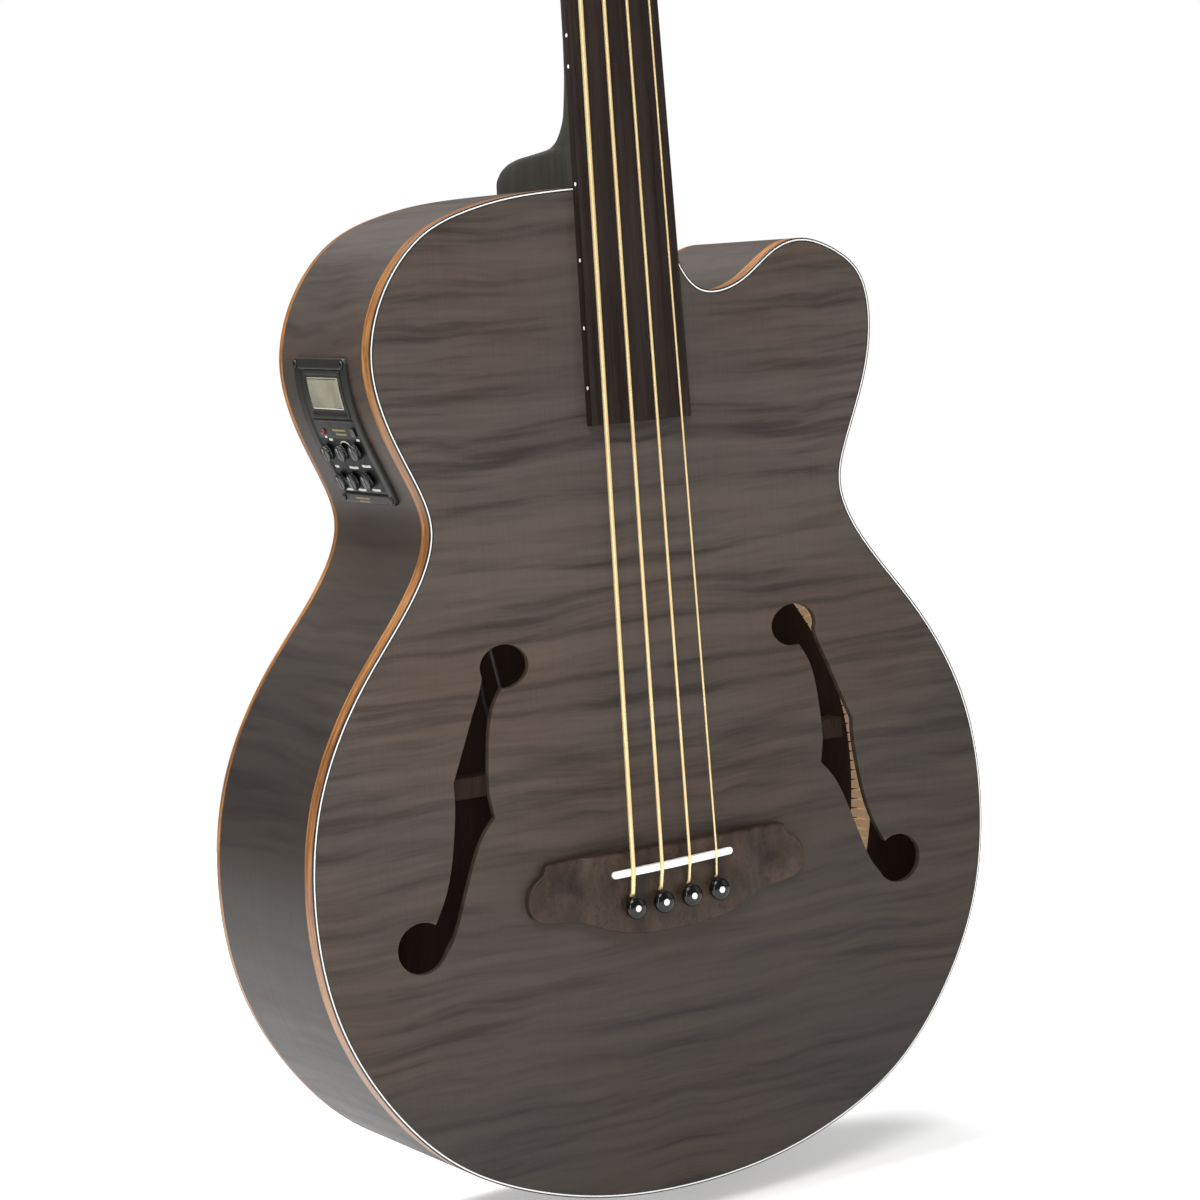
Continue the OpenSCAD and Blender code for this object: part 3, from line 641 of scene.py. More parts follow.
def binding_wood():
    """Orange-brown wood strip with dark flecks along its length."""
    m = Paint("binding_wood", Roughness=0.4, Specular_IOR_Level=0.3, Coat_Weight=0.05,
        Coat_Roughness=0.25)
    u, v, _ = m.split(m.uv)
    base = m.vector(u, v, 0.0)
    long = m.noise(base, (28, 420, 1), 3, 0.6)
    fleck = m.noise(base, (160, 1300, 1), 3, 0.6, (4, 2, 0))
    slow = m.noise(base, (9, 60, 1), 2, 0.5, (1, 7, 0))
    color = m.ramp(m.weigh(long, 0.6, slow), (0.36, tone(96, 58, 28)), (0.5, tone(140, 92, 48)),
        (0.64, tone(178, 128, 74)))
    color = m.mix(0.75, color, m.ramp(fleck, (0.34, (0.42, 0.34, 0.30, 1)), (0.46, (1, 1, 1, 1))),
        "MULTIPLY")
    return m.finish(color, (long, 0.32, 0.46), (fleck, 0.00008, 0.3))


def plastic(name, color, rough, coat=0.0, speckle=0.06, bump=0.0, **sockets):
    """Moulded or polished plastic: fine texture, faint scuffs and uneven gloss."""
    m = Paint(name, color, Roughness=rough, Coat_Weight=coat, Coat_Roughness=0.08, **sockets)
    grit = m.noise(m.object, (900, 900, 900), 2, 0.6)
    scuff = m.noise(m.object, (60, 90, 40), 4, 0.7, (3, 3, 1))
    low = tuple(c * (1 - speckle) for c in color[:3]) + (1,)
    high = tuple(min(1, c * (1 + speckle)) for c in color[:3]) + (1,)
    return m.finish(m.ramp(m.weigh(grit, 0.5, scuff), (0.38, low), (0.62, high)),
        (scuff, max(0.03, rough - 0.05), rough + 0.08), bump and (grit, 0.00005, bump))


def metal(name, color, rough):
    """Plated metal with fine polishing marks and a few duller spots."""
    m = Paint(name, color, Metallic=1.0, Roughness=rough)
    spots = m.noise(m.object, (150, 150, 150), 3, 0.6)
    marks = m.noise(m.object, (2200, 2200, 120), 2, 0.6, (1, 5, 2))
    return m.finish(m.ramp(spots, (0.35, tuple(c * 0.86 for c in color[:3]) + (1,)), (0.6, color)),
        (spots, rough, rough + 0.12), (marks, 0.00002, 0.15))


def wound_string():
    """Phosphor bronze wound on a core: a groove at each turn, painted shade between the turns and a
    painted highlight on their crests.
    """
    m = Paint("wound_bronze", tone(240, 192, 118), Metallic=0.5, Roughness=0.3)
    u, _, _ = m.split(m.uv)
    turn = m.math("SINE", m.mul(u, 2 * math.pi / 0.00055))
    level = m.remap(turn, -1, 1)
    tarnish = m.noise(m.vector(u, 0.0, 0.0), (22, 1, 1), 3, 0.6)
    # painted shade in the grooves between the turns and a painted highlight on their crests
    color = m.ramp(level, (0.0, tone(224, 172, 104)), (0.45, tone(255, 226, 160)),
        (1.0, tone(255, 244, 200)))
    color = m.mix(m.remap(tarnish, 0.45, 0.75, 0.0, 0.3), color, tone(212, 150, 88))
    return m.finish(color, (tarnish, 0.24, 0.34), (level, 0.00005, 0.6))


def display_glass():
    """Grey-green reflective display, softly clouded and finely grained."""
    m = Paint("lcd_glass", tone(146, 143, 122), Roughness=0.16, Coat_Weight=0.5,
        Coat_Roughness=0.04)
    cloud = m.noise(m.object, (70, 70, 70), 2, 0.5)
    grid = m.noise(m.object, (1500, 1500, 1500), 1, 0.5, (2, 2, 2))
    color = m.mix(0.15, m.ramp(cloud, (0.35, tone(134, 131, 112)), (0.65, tone(152, 149, 128))),
        m.ramp(grid, (0.4, tone(120, 118, 102)), (0.6, tone(160, 156, 136))))
    return m.finish(color, (cloud, 0.14, 0.22))


def circuit_green():
    m = Paint("circuit_green", tone(16, 66, 36), Roughness=0.4)
    tracks = m.noise(m.object, (240, 500, 500), 1, 0.4)
    color = m.ramp(tracks, (0.46, tone(12, 52, 28)), (0.5, tone(30, 92, 52)))
    return m.finish(color, bump=(tracks, 0.0001, 0.4))


STAIN_LIGHT, STAIN_DARK = tone(83, 74, 67), tone(53, 47, 43)
# painted shade by height in metres: the share of the light left, darker towards the tail
PLATE_PAINTED_SHADE = ((0.05, 0.52), (0.2, 0.7), (0.36, 1.0))
RIB_PAINTED_SHADE = ((0.03, 0.2), (0.25, 0.5), (0.42, 1.0))
MAPLE_TOP = maple("flamed_maple_top", "x", STAIN_LIGHT, STAIN_DARK, 0.35, PLATE_PAINTED_SHADE)
MAPLE_BACK = maple("flamed_maple_back", "x", STAIN_LIGHT, STAIN_DARK, 0.0, PLATE_PAINTED_SHADE, 4.0)
MAPLE_RIB = maple("flamed_maple_rib", "uv", tone(71, 63, 57), tone(54, 48, 44), 0.0, RIB_PAINTED_SHADE, 2.0)
BINDING = binding_wood()
WHITE_LINE = plastic("white_line", tone(236, 235, 230), 0.35, speckle=0.02)
BLACK_LINE = plastic("black_line", tone(26, 24, 24), 0.38)
# The inner woods glow a little: painted light on the inside of the body.
INNER = plain_wood("inner_wood", tone(124, 104, 93), tone(94, 77, 68), 0.72, grain=(300, 7),
    painted_glow=0.02)
LINING = plain_wood("lining_wood", tone(222, 188, 150), tone(180, 142, 106), 0.7, grain=(300, 7),
    painted_glow=0.3)
INSIDE = plain_wood("inside_back", tone(64, 48, 42), tone(40, 28, 24), 0.75, grain=(300, 7),
    painted_glow=0.06)
NECK_WOOD = plain_wood("neck_wood", tone(60, 58, 50), tone(40, 39, 34), 0.36, flecks=0.4, coat=0.06,
    grain=(380, 8), bump=0.15)
ROSEWOOD = plain_wood("rosewood_board", tone(50, 41, 37), tone(28, 22, 20), 0.55, flecks=1.1,
    grain=(520, 8), bump=0.4, shine=0.12)
BRIDGE_WOOD = plain_wood("rosewood_bridge", tone(76, 62, 51), tone(38, 30, 25), 0.42, flecks=0.9,
    grain=(160, 60), bump=0.3, shine=0.2)
STEEL = metal("steel", (0.62, 0.62, 0.63, 1), 0.16)
GLOSS_BLACK = plastic("gloss_black", tone(11, 11, 12), 0.12, coat=0.15, speckle=0.2,
    Specular_IOR_Level=0.35)
IVORY = plastic("saddle_ivory", tone(250, 248, 240), 0.3, speckle=0.03)
BRONZE = wound_string()
SCREW = metal("black_screw", (0.05, 0.05, 0.05, 1), 0.34)
PANEL = plastic("panel_plastic", tone(32, 31, 27), 0.42, bump=0.25, speckle=0.15,
    Specular_IOR_Level=0.3)
PANEL_DARK = plastic("panel_shadow", tone(13, 13, 13), 0.5, speckle=0.1, Specular_IOR_Level=0.2)
KNOB = plastic("knob_plastic", tone(17, 17, 19), 0.3, bump=0.12, speckle=0.2)
MARK = plastic("printed_mark", tone(206, 206, 200), 0.5, speckle=0.1)
GOLD_MARK = plastic("printed_gold", tone(124, 116, 66), 0.45, speckle=0.2)
LCD = display_glass()
LED = plastic("led_red", tone(128, 34, 42), 0.12, coat=0.6, speckle=0.1)
CIRCUIT = circuit_green()
CABLE = plastic("cable_black", tone(78, 74, 71), 0.55)


# ---------------------------------------------------------------- body

def f_hole(side):
    """Eyes and slot of one f-hole as a single outline."""
    lower = oval(*LOWER_EYE)
    upper = oval(*UPPER_EYE)
    slot = np.vstack([smooth(c, 10)[:-1] for c in SLOT_CURVES])
    loop = union_outline([slot, upper, lower])
    return loop * (side, 1)


def inside(p, loop):
    x, y = loop[:, 0], loop[:, 1]
    x2, y2 = np.roll(x, -1), np.roll(y, -1)
    with np.errstate(divide="ignore", invalid="ignore"):
        hit = ((y > p[1]) != (y2 > p[1])) & (p[0] < (x2 - x) * (p[1] - y) / (y2 - y) + x)
    return hit.sum() % 2 == 1


def crossing(a, b, c, d):
    r, s, q = b - a, d - c, c - a
    det = r[0] * s[1] - r[1] * s[0]
    if abs(det) < 1e-12:
        return None
    t, u = (q[0] * s[1] - q[1] * s[0]) / det, (q[0] * r[1] - q[1] * r[0]) / det
    return (t, u, a + t * r) if 0 <= t < 1 and 0 <= u < 1 else None


def union_outline(loops):
    """Outer outline of overlapping counter-clockwise loops, walked from crossing to crossing."""
    loops = [counter_clockwise(np.array(k, float)) for k in loops]
    cuts = {n: [] for n in range(len(loops))}
    for n, one in enumerate(loops):
        for m in range(n + 1, len(loops)):
            other = loops[m]
            one_next, other_next = np.roll(one, -1, 0), np.roll(other, -1, 0)
            for i in range(len(one)):
                for j in range(len(other)):
                    hit = crossing(one[i], one_next[i], other[j], other_next[j])
                    if hit:
                        cuts[n].append((i + hit[0], m, j + hit[1], hit[2]))
                        cuts[m].append((j + hit[1], n, i + hit[0], hit[2]))
    starts = [i for i, p in enumerate(loops[0])
        if not any(inside(p, other) for other in loops[1:])]
    n, at_step, out = 0, float(starts[0]), [loops[0][starts[0]]]
    first = (0, starts[0])
    for _ in range(4000):
        size = len(loops[n])
        ahead = sorted(((c[0] - at_step) % size, c) for c in cuts[n]
            if (c[0] - at_step) % size > 1e-9)
        step = math.floor(at_step + 1e-9) + 1
        to_vertex = step - at_step
        if ahead and ahead[0][0] < to_vertex:
            _, m, there, point = ahead[0][1]
            out.append(point)
            n, at_step = m, there
            continue
        at_step = float(step % size)
        if (n, int(at_step)) == first:
            break
        out.append(loops[n][int(at_step)])
    keep = [p for k, p in enumerate(out) if np.linalg.norm(p - out[k - 1]) > 0.05]
    return np.array(keep)


def soundboard():
    edge = RIM + (BINDING_W - 0.3) * RIM_IN
    loops = [(edge, 1), (f_hole(1), -1), (f_hole(-1), -1)]
    mesh = flat_cut(loops, 0, TOP_T, 0.3, [MAPLE_TOP])
    put("soundboard_top", mesh, "flamed_maple", "soundboard")


def in_panel_window(y, z, margin):
    """Whether a place on the rib is cut away under the preamp panel."""
    across, up = panel_of(y, z)
    return abs(across) < PANEL_W / 2 - margin and abs(up) < PANEL_H / 2 - margin


def ribs():
    rows = 26
    outer = [(0.0, BINDING_H, 0.0)]
    for k in range(1, rows):
        t = k / rows
        outer.append((0.0, BINDING_H * (1 - t) - BACK_BINDING_H * t, t))
    outer += [(0.0, -BACK_BINDING_H, 1.0), (RIB_T, -BACK_BINDING_H, 1.0), (RIB_T, BINDING_H, 0.0)]

    def keep(i, j):
        if RIM[i][0] > 0 or j >= rows:
            return True
        p = RIM[i]
        _, y, share = outer[j]
        return not in_panel_window(y + share * depth_at(p[1]) + 2, p[1], 6.0)

    mats = [0] * rows + [1, 1, 1]
    mesh = sweep_rim(outer, [MAPLE_RIB, INSIDE], mats, keep)
    put("rib_shell", mesh, "flamed_maple", "ribs")


def back():
    face = RIM + BINDING_W * RIM_IN
    place = lambda x, z, h: at(x, depth_at(z) - BACK_T + h, z)
    mesh = slab(face, [(0, 0), (0, BACK_T)], place, [MAPLE_BACK, INSIDE])
    for p in mesh.polygons:
        if p.normal.y < -0.5:
            p.material_index = 1
    put("back_board", mesh, "flamed_maple", "back_plate")


def binding():
    w, h, t = BINDING_W, BINDING_H, LINE_T
    wood = [(0.0, t, 0), (0.0, h - 0.35, 0), (0.0, h, 0), (w, h, 0), (w, t, 0)]
    mesh = sweep_rim(wood, [BINDING, BLACK_LINE], [0, 1, 0, 0, 0])
    put("binding_front", mesh, "binding_wood", "front_binding")
    edge = [(0.0, t, 0), (0.0, 0.5, 0), (0.08, 0.22, 0), (0.25, 0.06, 0), (0.5, 0.0, 0),
        (LINE_W, 0.0, 0), (LINE_W, t, 0)]
    inner = [(w - LINE_W, t, 0), (w - LINE_W, 0.0, 0), (w, 0.0, 0), (w, t, 0)]
    lines = joined([sweep_rim(p, [BLACK_LINE]) for p in (edge, inner)])
    put("purfling_black", lines, "black_trim", "black_purfling")
    white = [(LINE_W, t, 0), (LINE_W, 0.0, 0), (w / 2, -0.04, 0),
        (w - LINE_W, 0.0, 0), (w - LINE_W, t, 0)]
    put("purfling_white", sweep_rim(white, [WHITE_LINE]), "white_trim", "white_purfling")
    rear = [(0.0, -BACK_BINDING_H, 1), (0.0, -1.2, 1), (0.15, -0.6, 1), (0.5, -0.2, 1),
        (1.1, 0.0, 1), (w, 0.0, 1), (w, -BACK_BINDING_H, 1)]
    put("binding_back", sweep_rim(rear, [BINDING]), "binding_wood", "back_binding")


def rim_point(s):
    """Point and inward vector of the rim at an arc length."""
    s = min(max(s, 0.0), RIM_ARC[-1] - 1e-6)
    i = int(np.searchsorted(RIM_ARC, s, "right")) - 1
    t = (s - RIM_ARC[i]) / (RIM_ARC[i + 1] - RIM_ARC[i])
    k = (i + 1) % len(RIM)
    return RIM[i] * (1 - t) + RIM[k] * t, RIM_IN[i] * (1 - t) + RIM_IN[k] * t


def kerfed_linings():
    """Triangular strips glued in the corners, sawn into teeth on a thin spine."""
    pieces = []
    for back_side in (False, True):
        for s in np.arange(2.0, RIM_ARC[-1] - 8, 6.0):
            p, _ = rim_point(s)
            if abs(p[0]) < 42 and (p[1] > 478 or p[1] < 28):
                continue
            pieces.append(lining_piece(s, s + 4.9, 6.0, back_side))
            pieces.append(lining_piece(s + 4.9, s + 6.0, 1.2, back_side))
    put("kerfed_linings", joined(pieces), "inner_wood", "linings")


def lining_piece(start, end, reach, back_side):
    """A tooth, or the spine between two teeth, over a stretch of the rim."""
    rings = []
    for s in (start, end):
        q, m = rim_point(s)
        ring = []
        for inset, rise in ((RIB_T, 0.05), (RIB_T + reach, 0.05), (RIB_T + reach, 2.45),
                (RIB_T + min(reach, 1.2), 11.55), (RIB_T, 11.55)):
            x, z = q + inset * m
            ring.append(at(x, depth_at(z) - BACK_T - rise if back_side else TOP_T + rise, z))
        rings.append(ring)
    return skinned(rings, [LINING])


def inner_parts():
    for node in ("neck_block", "tail_block", "top_braces", "back_braces", "bridge_plate"):
        soften(node, 1.0, INNER)


# ---------------------------------------------------------------- neck

def monotone(xs, ys, x):
    """Smooth interpolation that does not overshoot."""
    xs, ys = np.array(xs, float), np.array(ys, float)
    d = np.diff(ys) / np.diff(xs)
    m = np.concatenate([[d[0]], np.where(d[:-1] * d[1:] > 0,
        2 * d[:-1] * d[1:] / np.where(d[:-1] + d[1:] == 0, 1, d[:-1] + d[1:]), 0), [d[-1]]])
    i = int(np.clip(np.searchsorted(xs, x) - 1, 0, len(xs) - 2))
    h = xs[i + 1] - xs[i]
    t = (x - xs[i]) / h
    return ((1 + 2 * t) * (1 - t) ** 2 * ys[i] + t * (1 - t) ** 2 * h * m[i]
        + t * t * (3 - 2 * t) * ys[i + 1] + t * t * (t - 1) * h * m[i + 1])


SHAFT_END = HEAD_Z - 16
# Heel's lobe and shaft of the neck: z, width, depth behind the front plane, squareness, taper
HEEL = [(542, 54, 104, 6, 0.1), (548, 54, 103.5, 6, 0.1), (553, 54, 99, 6, 0.1),
    (557, 54, 92, 5.5, 0.1), (560, 54, 79, 5, 0.1), (561.5, 54, 62, 4.5, 0.1),
    (563.5, 54, 42, 4, 0.1), (569, 54, 32, 3.2, 0.08), (580, 53.7, 24.5, 2.5, 0.04),
    (615, 52.8, 17.5, 2.1, 0), (SHAFT_END, 41.5, 15.5, 2.1, 0)]


def u_section(w, d, power, taper):
    out = []
    for i in range(41):
        a = math.pi * i / 40
        c, s = math.cos(a), abs(math.sin(a)) ** (2 / power)
        out.append((math.copysign(abs(c) ** (2 / power), c) * w / 2 * (1 - taper * s), d * s))
    return out


def neck():
    heights = (list(np.linspace(BODY_LENGTH + 0.3, 554, 9)) + list(np.linspace(555, 572, 35))
        + list(np.linspace(574, 594, 9)) + list(np.linspace(600, SHAFT_END, 26)))
    columns = list(zip(*HEEL))
    rings = []
    for z in heights:
        w, d, power, taper = (monotone(columns[0], columns[k], z) for k in (1, 2, 3, 4))
        rings.append([at(x, y + 0.02, z) for x, y in u_section(w, d, power, taper)])
    _, width, depth, power, _ = HEEL[-1]
    for t in np.arange(1, 9) / 8:
        e = t * t * (3 - 2 * t)
        tilt = HEAD_TILT * e
        z0 = SHAFT_END + 30 * t
        y0 = max(0.0, z0 - HEAD_Z) * math.tan(HEAD_TILT) + 0.02 + 1.5 * e
        d = depth - 1.3 * e + 4.5 * math.sin(math.pi * t) ** 2
        rings.append([at(x, y0 + y * math.cos(tilt), z0 - y * math.sin(tilt))
            for x, y in u_section(width + 1.2 * e, d, power + 2.9 * e, 0)])
    shaft = skinned(rings, [NECK_WOOD])
    put("neck_shaft", shaft, "neck_wood", "neck")
    outline = mirrored_loop(HEAD_HALF, 6)
    body = slab(outline, edge_profile(HEAD_T - VENEER_T, 1.2, 2.2),
        lambda x, s, h: on_head(x, HEAD_T - h, s), [NECK_WOOD])
    put("headstock_body", body, "neck_wood")
    face = slab(outline, edge_profile(VENEER_T, 0.5),
        lambda x, s, h: on_head(x, VENEER_T - h, s), [ROSEWOOD])
    put("headstock_face", face, "rosewood", "headstock_veneer")
    cover = rounded_cover()
    mesh = slab(cover, edge_profile(2.0, 0.6), lambda x, s, h: on_head(x, -h, s),
        [GLOSS_BLACK])
    put("rod_cover", mesh, "black_plastic", "truss_rod_cover")


def rounded_cover():
    p = np.array([(-13, 2.5), (13, 2.5), (9, 40), (0, 50), (-9, 40)], float)
    return np.array([q for k in range(5) for q in bend(p[k - 1], p[k], p[(k + 1) % 5], 4, 6)])


def fingerboard():
    rings = []
    heights = [BOARD_END_Z, BOARD_END_Z + 0.4, *np.linspace(BOARD_END_Z + 8, NUT_Z - 0.02, 60)]
    for z in heights:
        w = NUT_HALF + (BOARD_HALF - NUT_HALF) * (NUT_Z - z) / (NUT_Z - BOARD_END_Z)
        ease = 0.3 if z == BOARD_END_Z else 0.0
        ring = [(w - ease, 0.0), (w - ease, -BOARD_T + w * w / (2 * CROWN_R) + 0.7),
            (w - 0.12 - ease, -BOARD_T + w * w / (2 * CROWN_R) + 0.25)]
        for k in range(17):
            x = (w - 0.5 - ease) * (1 - k / 8)
            ring.append((x, -BOARD_T + ease + x * x / (2 * CROWN_R)))
        ring += [(-w + 0.12 + ease, ring[2][1]), (-w + ease, ring[1][1]), (-w + ease, 0.0)]
        rings.append([at(x, y, z) for x, y in ring])
    put("fingerboard_wood", skinned(rings, [ROSEWOOD]), "rosewood", "fingerboard")
    soften("side_dots", 0, WHITE_LINE)
    soften("truss_rod", 0, STEEL)
    soften("nut", 0.4, IVORY)


# ---------------------------------------------------------------- bridge and strings

def bridge():
    outline = mirrored_loop(BRIDGE_HALF, 8)

    def place(x, z, h):
        t = min(max((abs(x) - 48) / 9, 0), 1)
        top = BRIDGE_T + (WING_T - BRIDGE_T) * t * t * (3 - 2 * t)
        return at(x - BRIDGE_SHIFT, -h * top / BRIDGE_T, SADDLE_Z + z)

    cuts = [s * x for s in (-1, 1) for x in (10, 25, 40, *range(48, 58), 66, 76)]
    mesh = slab(outline, edge_profile(BRIDGE_T, 1.5, steps=5), place, [BRIDGE_WOOD],
        [(0, cuts)])
    put("bridge_wood", mesh, "rosewood", "bridge", sharp=50)
    soften("saddle", 0.5, IVORY)
    soften("saddle_pickup", 0.2, STEEL)
    pins, dots = [], []
    profile = [(2.2, -22), (2.9, -1), (2.9, 0), (4.45, 0.02), (4.6, 0.25), (4.6, 1.0), (4.35, 1.35),
        (3.6, 1.6), (3.4, 1.9), (3.55, 2.3), (5.3, 2.95), (5.95, 3.55), (6.05, 4.2), (5.85, 5.0),
        (5.2, 5.7), (3.9, 6.25), (2.5, 6.45), (1.9, 6.5), (1.8, 6.4), (1.8, 5.9)]
    for i in range(4):
        x = string_x(i, SADDLE_Z)
        foot = at(x, -BRIDGE_T, saddle_line(x) - PIN_OFFSET)
        pins.append(lathe(profile, foot, (0, -1, 0), [GLOSS_BLACK], 40))
        dots.append(lathe([(1.75, 5.9), (1.75, 6.42), (1.5, 6.58), (0.9, 6.68), (0.1, 6.7)],
            foot, (0, -1, 0), [WHITE_LINE], 24))
    put("pins_black", joined(pins), "black_plastic", "bridge_pins")
    put("pins_dots", joined(dots), "white_trim", "pin_dots")


def strings():
    """Ball end, rise from the pin, saddle, nut and the run to each post; then its coil."""
    for i, key in enumerate(STRINGS):
        r = STRING_R[i]
        x = string_x(i, SADDLE_Z)
        peg = saddle_line(x) - PIN_OFFSET + STRING_EXIT
        peak = -(SADDLE_CROWN - (x + BRIDGE_SHIFT) ** 2 / (2 * CROWN_R)) - r - 0.12
        nut_x = string_x(i, NUT_Z)
        points = [at(x, 8.5, peg), at(x, -5.5, peg), at(x, -8.1, peg + 0.4), at(x, -9, peg + 1.4),
            at(x, peak + 0.5, saddle_line(x) - 2.6), at(x, peak, saddle_line(x) - 1),
            at(x, peak, saddle_line(x) + 1.2), at(nut_x, AT_NUT, NUT_Z + 0.2),
            at(nut_x, AT_NUT, NUT_Z + 4.9), on_head(nut_x, AT_NUT, 3),
            on_head(POST_AT[i][0] - outward(i) * (5 + r), AT_POST, POST_AT[i][1])]
        mesh = tube(filleted(points, 1.2 * MM), r, [BRONZE], 20)
        half = [(2.4, 0.7), (2.4, 1.9), (2.2, 2.3), (0.9, 2.5)]
        spool = [(q, -h) for q, h in half[::-1]] + [(1.9, 0)] + half
        ball = lathe(spool, at(x, 9.6, peg), (1, 0, 0), [BRONZE], 24)
        put("string_%s_wound" % key, joined([mesh, ball]), "bronze_string", "string_" + key)
        coil(i, key, r)


def coil(i, key, r):
    """The string's last turns, wound up its post from where it arrives."""
    turns = 2 if i < 2 else 3
    side = -outward(i)
    points = []
    for k in range(turns * 36 + 1):
        t = k / 36
        a = side * 2 * math.pi * t
        radius = 4.25 + r + 0.75 * max(0.0, 1 - t * 4)
        points.append(on_head(POST_AT[i][0] + side * radius * math.cos(a),
            AT_POST - 2.25 * r * t, POST_AT[i][1] + radius * abs(side) * math.sin(a) * side))
    end = points[-1]
    post = on_head(POST_AT[i][0], AT_POST - 2.25 * r * turns - 0.5, POST_AT[i][1])
    points += [end.lerp(post, 0.35), end.lerp(post, 0.6)]
    mesh = tube(points, r, [BRONZE], 14)
    put("coil_" + key, mesh, "bronze_string", "string_wrap_" + key, body="tuning_post_" + key)


# ---------------------------------------------------------------- tuners

def tuners():
    soften("tuner_plates", 0.6, STEEL)
    soften("tuner_bushings", 0.25, STEEL, 30)
    for i, key in enumerate(STRINGS):
        tuner_post(key)
        tuner_button(i, key)


def tuner_post(key):
    """Worm wheel, barrel and waisted top with the hole for the string's end."""
    joint = JOINTS["turn_post_" + key]
    profile = [(4.6, -23), (5.5, -22.4), (5.5, -19), (5.0, -19), (5.0, 5.6), (4.9, 6.2),
        (4.35, 6.9), (4.2, 7.4), (4.2, 16.2), (4.4, 16.9), (5.0, 17.8), (5.2, 18.3), (5.2, 21.0),
        (5.0, 21.6), (4.4, 22.0), (1.9, 22.0), (1.7, 21.7), (1.7, 17.0)]
    mesh = lathe(profile, joint["pos_m"], joint["axis"], [STEEL])
    put("post_" + key, mesh, "steel", "tuner_post_" + key, body="tuning_post_" + key)


def tuner_button(i, key):
    """Worm shaft, collar and an oval button with a dished, rounded rim."""
    joint = JOINTS["turn_button_" + key]
    origin, axis = Vector(joint["pos_m"]), Vector((outward(i), 0, 0))
    reach = 62 - abs(POST_AT[i][0])
    stem = lathe([(2.4, -6), (3.0, -5.4), (3.0, 5.4), (2.0, 6), (2.0, reach - 20.5),
        (3.2, reach - 22), (3.3, reach - 21.6), (4.3, reach - 20), (4.4, reach - 19.6),
        (3.6, reach - 16), (3.2, reach - 14)], origin, axis, [STEEL, GLOSS_BLACK], 36)
    up = Vector(on_head(0, 0, 1) - on_head(0, 0, 0)).normalized()
    normal = Vector(on_head(0, -1, 0) - on_head(0, 0, 0)).normalized()
    centre = origin + axis * ((reach - 6) * MM)
    t = around(56)
    egg = np.stack([11 * np.cos(t) * (1 + 0.04 * np.cos(2 * t)), 13 * np.sin(t)], 1)
    place = lambda u, v, h: centre + axis * (u * MM) + up * (v * MM) + normal * ((h - 3) * MM)
    rim = edge_profile(6, 1.6, 1.6, 5)
    dish = [(3.0, 5.9), (4.2, 5.55), (6.0, 5.4)]
    knob = slab(egg, [(3.4, 0.45)] + rim[1:] + dish, place, [GLOSS_BLACK])
    for p in stem.polygons:
        middle = sum((stem.vertices[v].co for v in p.vertices), Vector()) / len(p.vertices)
        if (middle - origin).dot(axis) > (reach - 22) * MM:
            p.material_index = 1
    put("button_" + key, joined([stem, knob]), "black_plastic", "tuner_button_" + key,
        body="tuning_button_" + key)


def screws():
    """Pan heads on short shanks; two dark bars stand for the cross recess, as its painted shade."""
    heads = []
    head_axis = on_head(0, -1, 0) - on_head(0, 0, 0)
    spots = [(on_head(x, -2.05, s), head_axis, 2.4) for x, s in ((-10, 6), (10, 6), (0, 43))]
    spots += [(on_head(x, HEAD_T + 1.25, s + d), -head_axis, 2.2)
        for x, s in POST_AT for d in (-17, 11.5)]
    corner = (PANEL_W / 2 - SCREW_INSET, PANEL_H / 2 - SCREW_INSET)
    for a in (-1, 1):
        for b in (-1, 1):
            foot, tip = (panel_place(lift)(a * corner[0], b * corner[1], 0) for lift in (2.5, 3.5))
            spots.append((foot, tip - foot, 1.9))
    for foot, axis, r in spots:
        side, up = basis(axis)
        a = Vector(axis).normalized()
        profile = [(r * k, h) for k, h in ((0.5, -5), (0.5, 0), (1, 0.02), (1, 0.35), (0.88, 0.7),
            (0.6, 0.9), (0.2, 0.95))]
        heads.append(lathe(profile, foot, axis, [SCREW], 28))
        # two dark bars as the painted shade of the cross recess
        for one, two in ((side, up), (up, side)):
            corners = [foot + a * (h * MM) + one * (s1 * r * 0.62 * MM) + two * (s2 * r * 0.12 * MM)
                for h in (0.5, 0.985) for s1, s2 in ((-1, -1), (1, -1), (1, 1), (-1, 1))]
            faces = [(0, 1, 2, 3), (4, 5, 6, 7)] + [(k, (k + 1) % 4, (k + 1) % 4 + 4, k + 4)
                for k in range(4)]
            heads.append(build(corners, faces, [BLACK_LINE]))
    put("cross_screws", joined(heads), "black_screw", "small_screws")


# ---------------------------------------------------------------- preamp

PANEL_Y, PANEL_Z, PANEL_SLANT = 55.5, 424.2, math.radians(1)
PANEL_W, PANEL_H, SCREW_INSET = 60.5, 78.0, 3.2
FACE = 1.4
LCD_AT, LCD_SIZE = (54, 445), (35.5, 16.5)


def panel_place(lift):
    """Maps (across, up, height) in the panel's own plane onto the curved rib."""
    def place(across, up, h):
        y = PANEL_Y + across * math.cos(PANEL_SLANT) - up * math.sin(PANEL_SLANT)
        z = PANEL_Z + across * math.sin(PANEL_SLANT) + up * math.cos(PANEL_SLANT)
        return on_rib(y, z, h + lift)
    return place


def panel_of(y, z):
    """Where a CAD (y, z) lies in the panel's own plane."""
    dy, dz = y - PANEL_Y, z - PANEL_Z
    return (dy * math.cos(PANEL_SLANT) + dz * math.sin(PANEL_SLANT),
        -dy * math.sin(PANEL_SLANT) + dz * math.cos(PANEL_SLANT))


def panel_slab(w, h, r, profile, centre, mat, lift=0.0, step=3.0):
    loop = rounded_rectangle(w, h, r) + centre
    rows = np.arange(centre[1] - h / 2 + step / 2, centre[1] + h / 2, step)
    return slab(loop, profile, panel_place(lift), [mat], [(1, rows)])


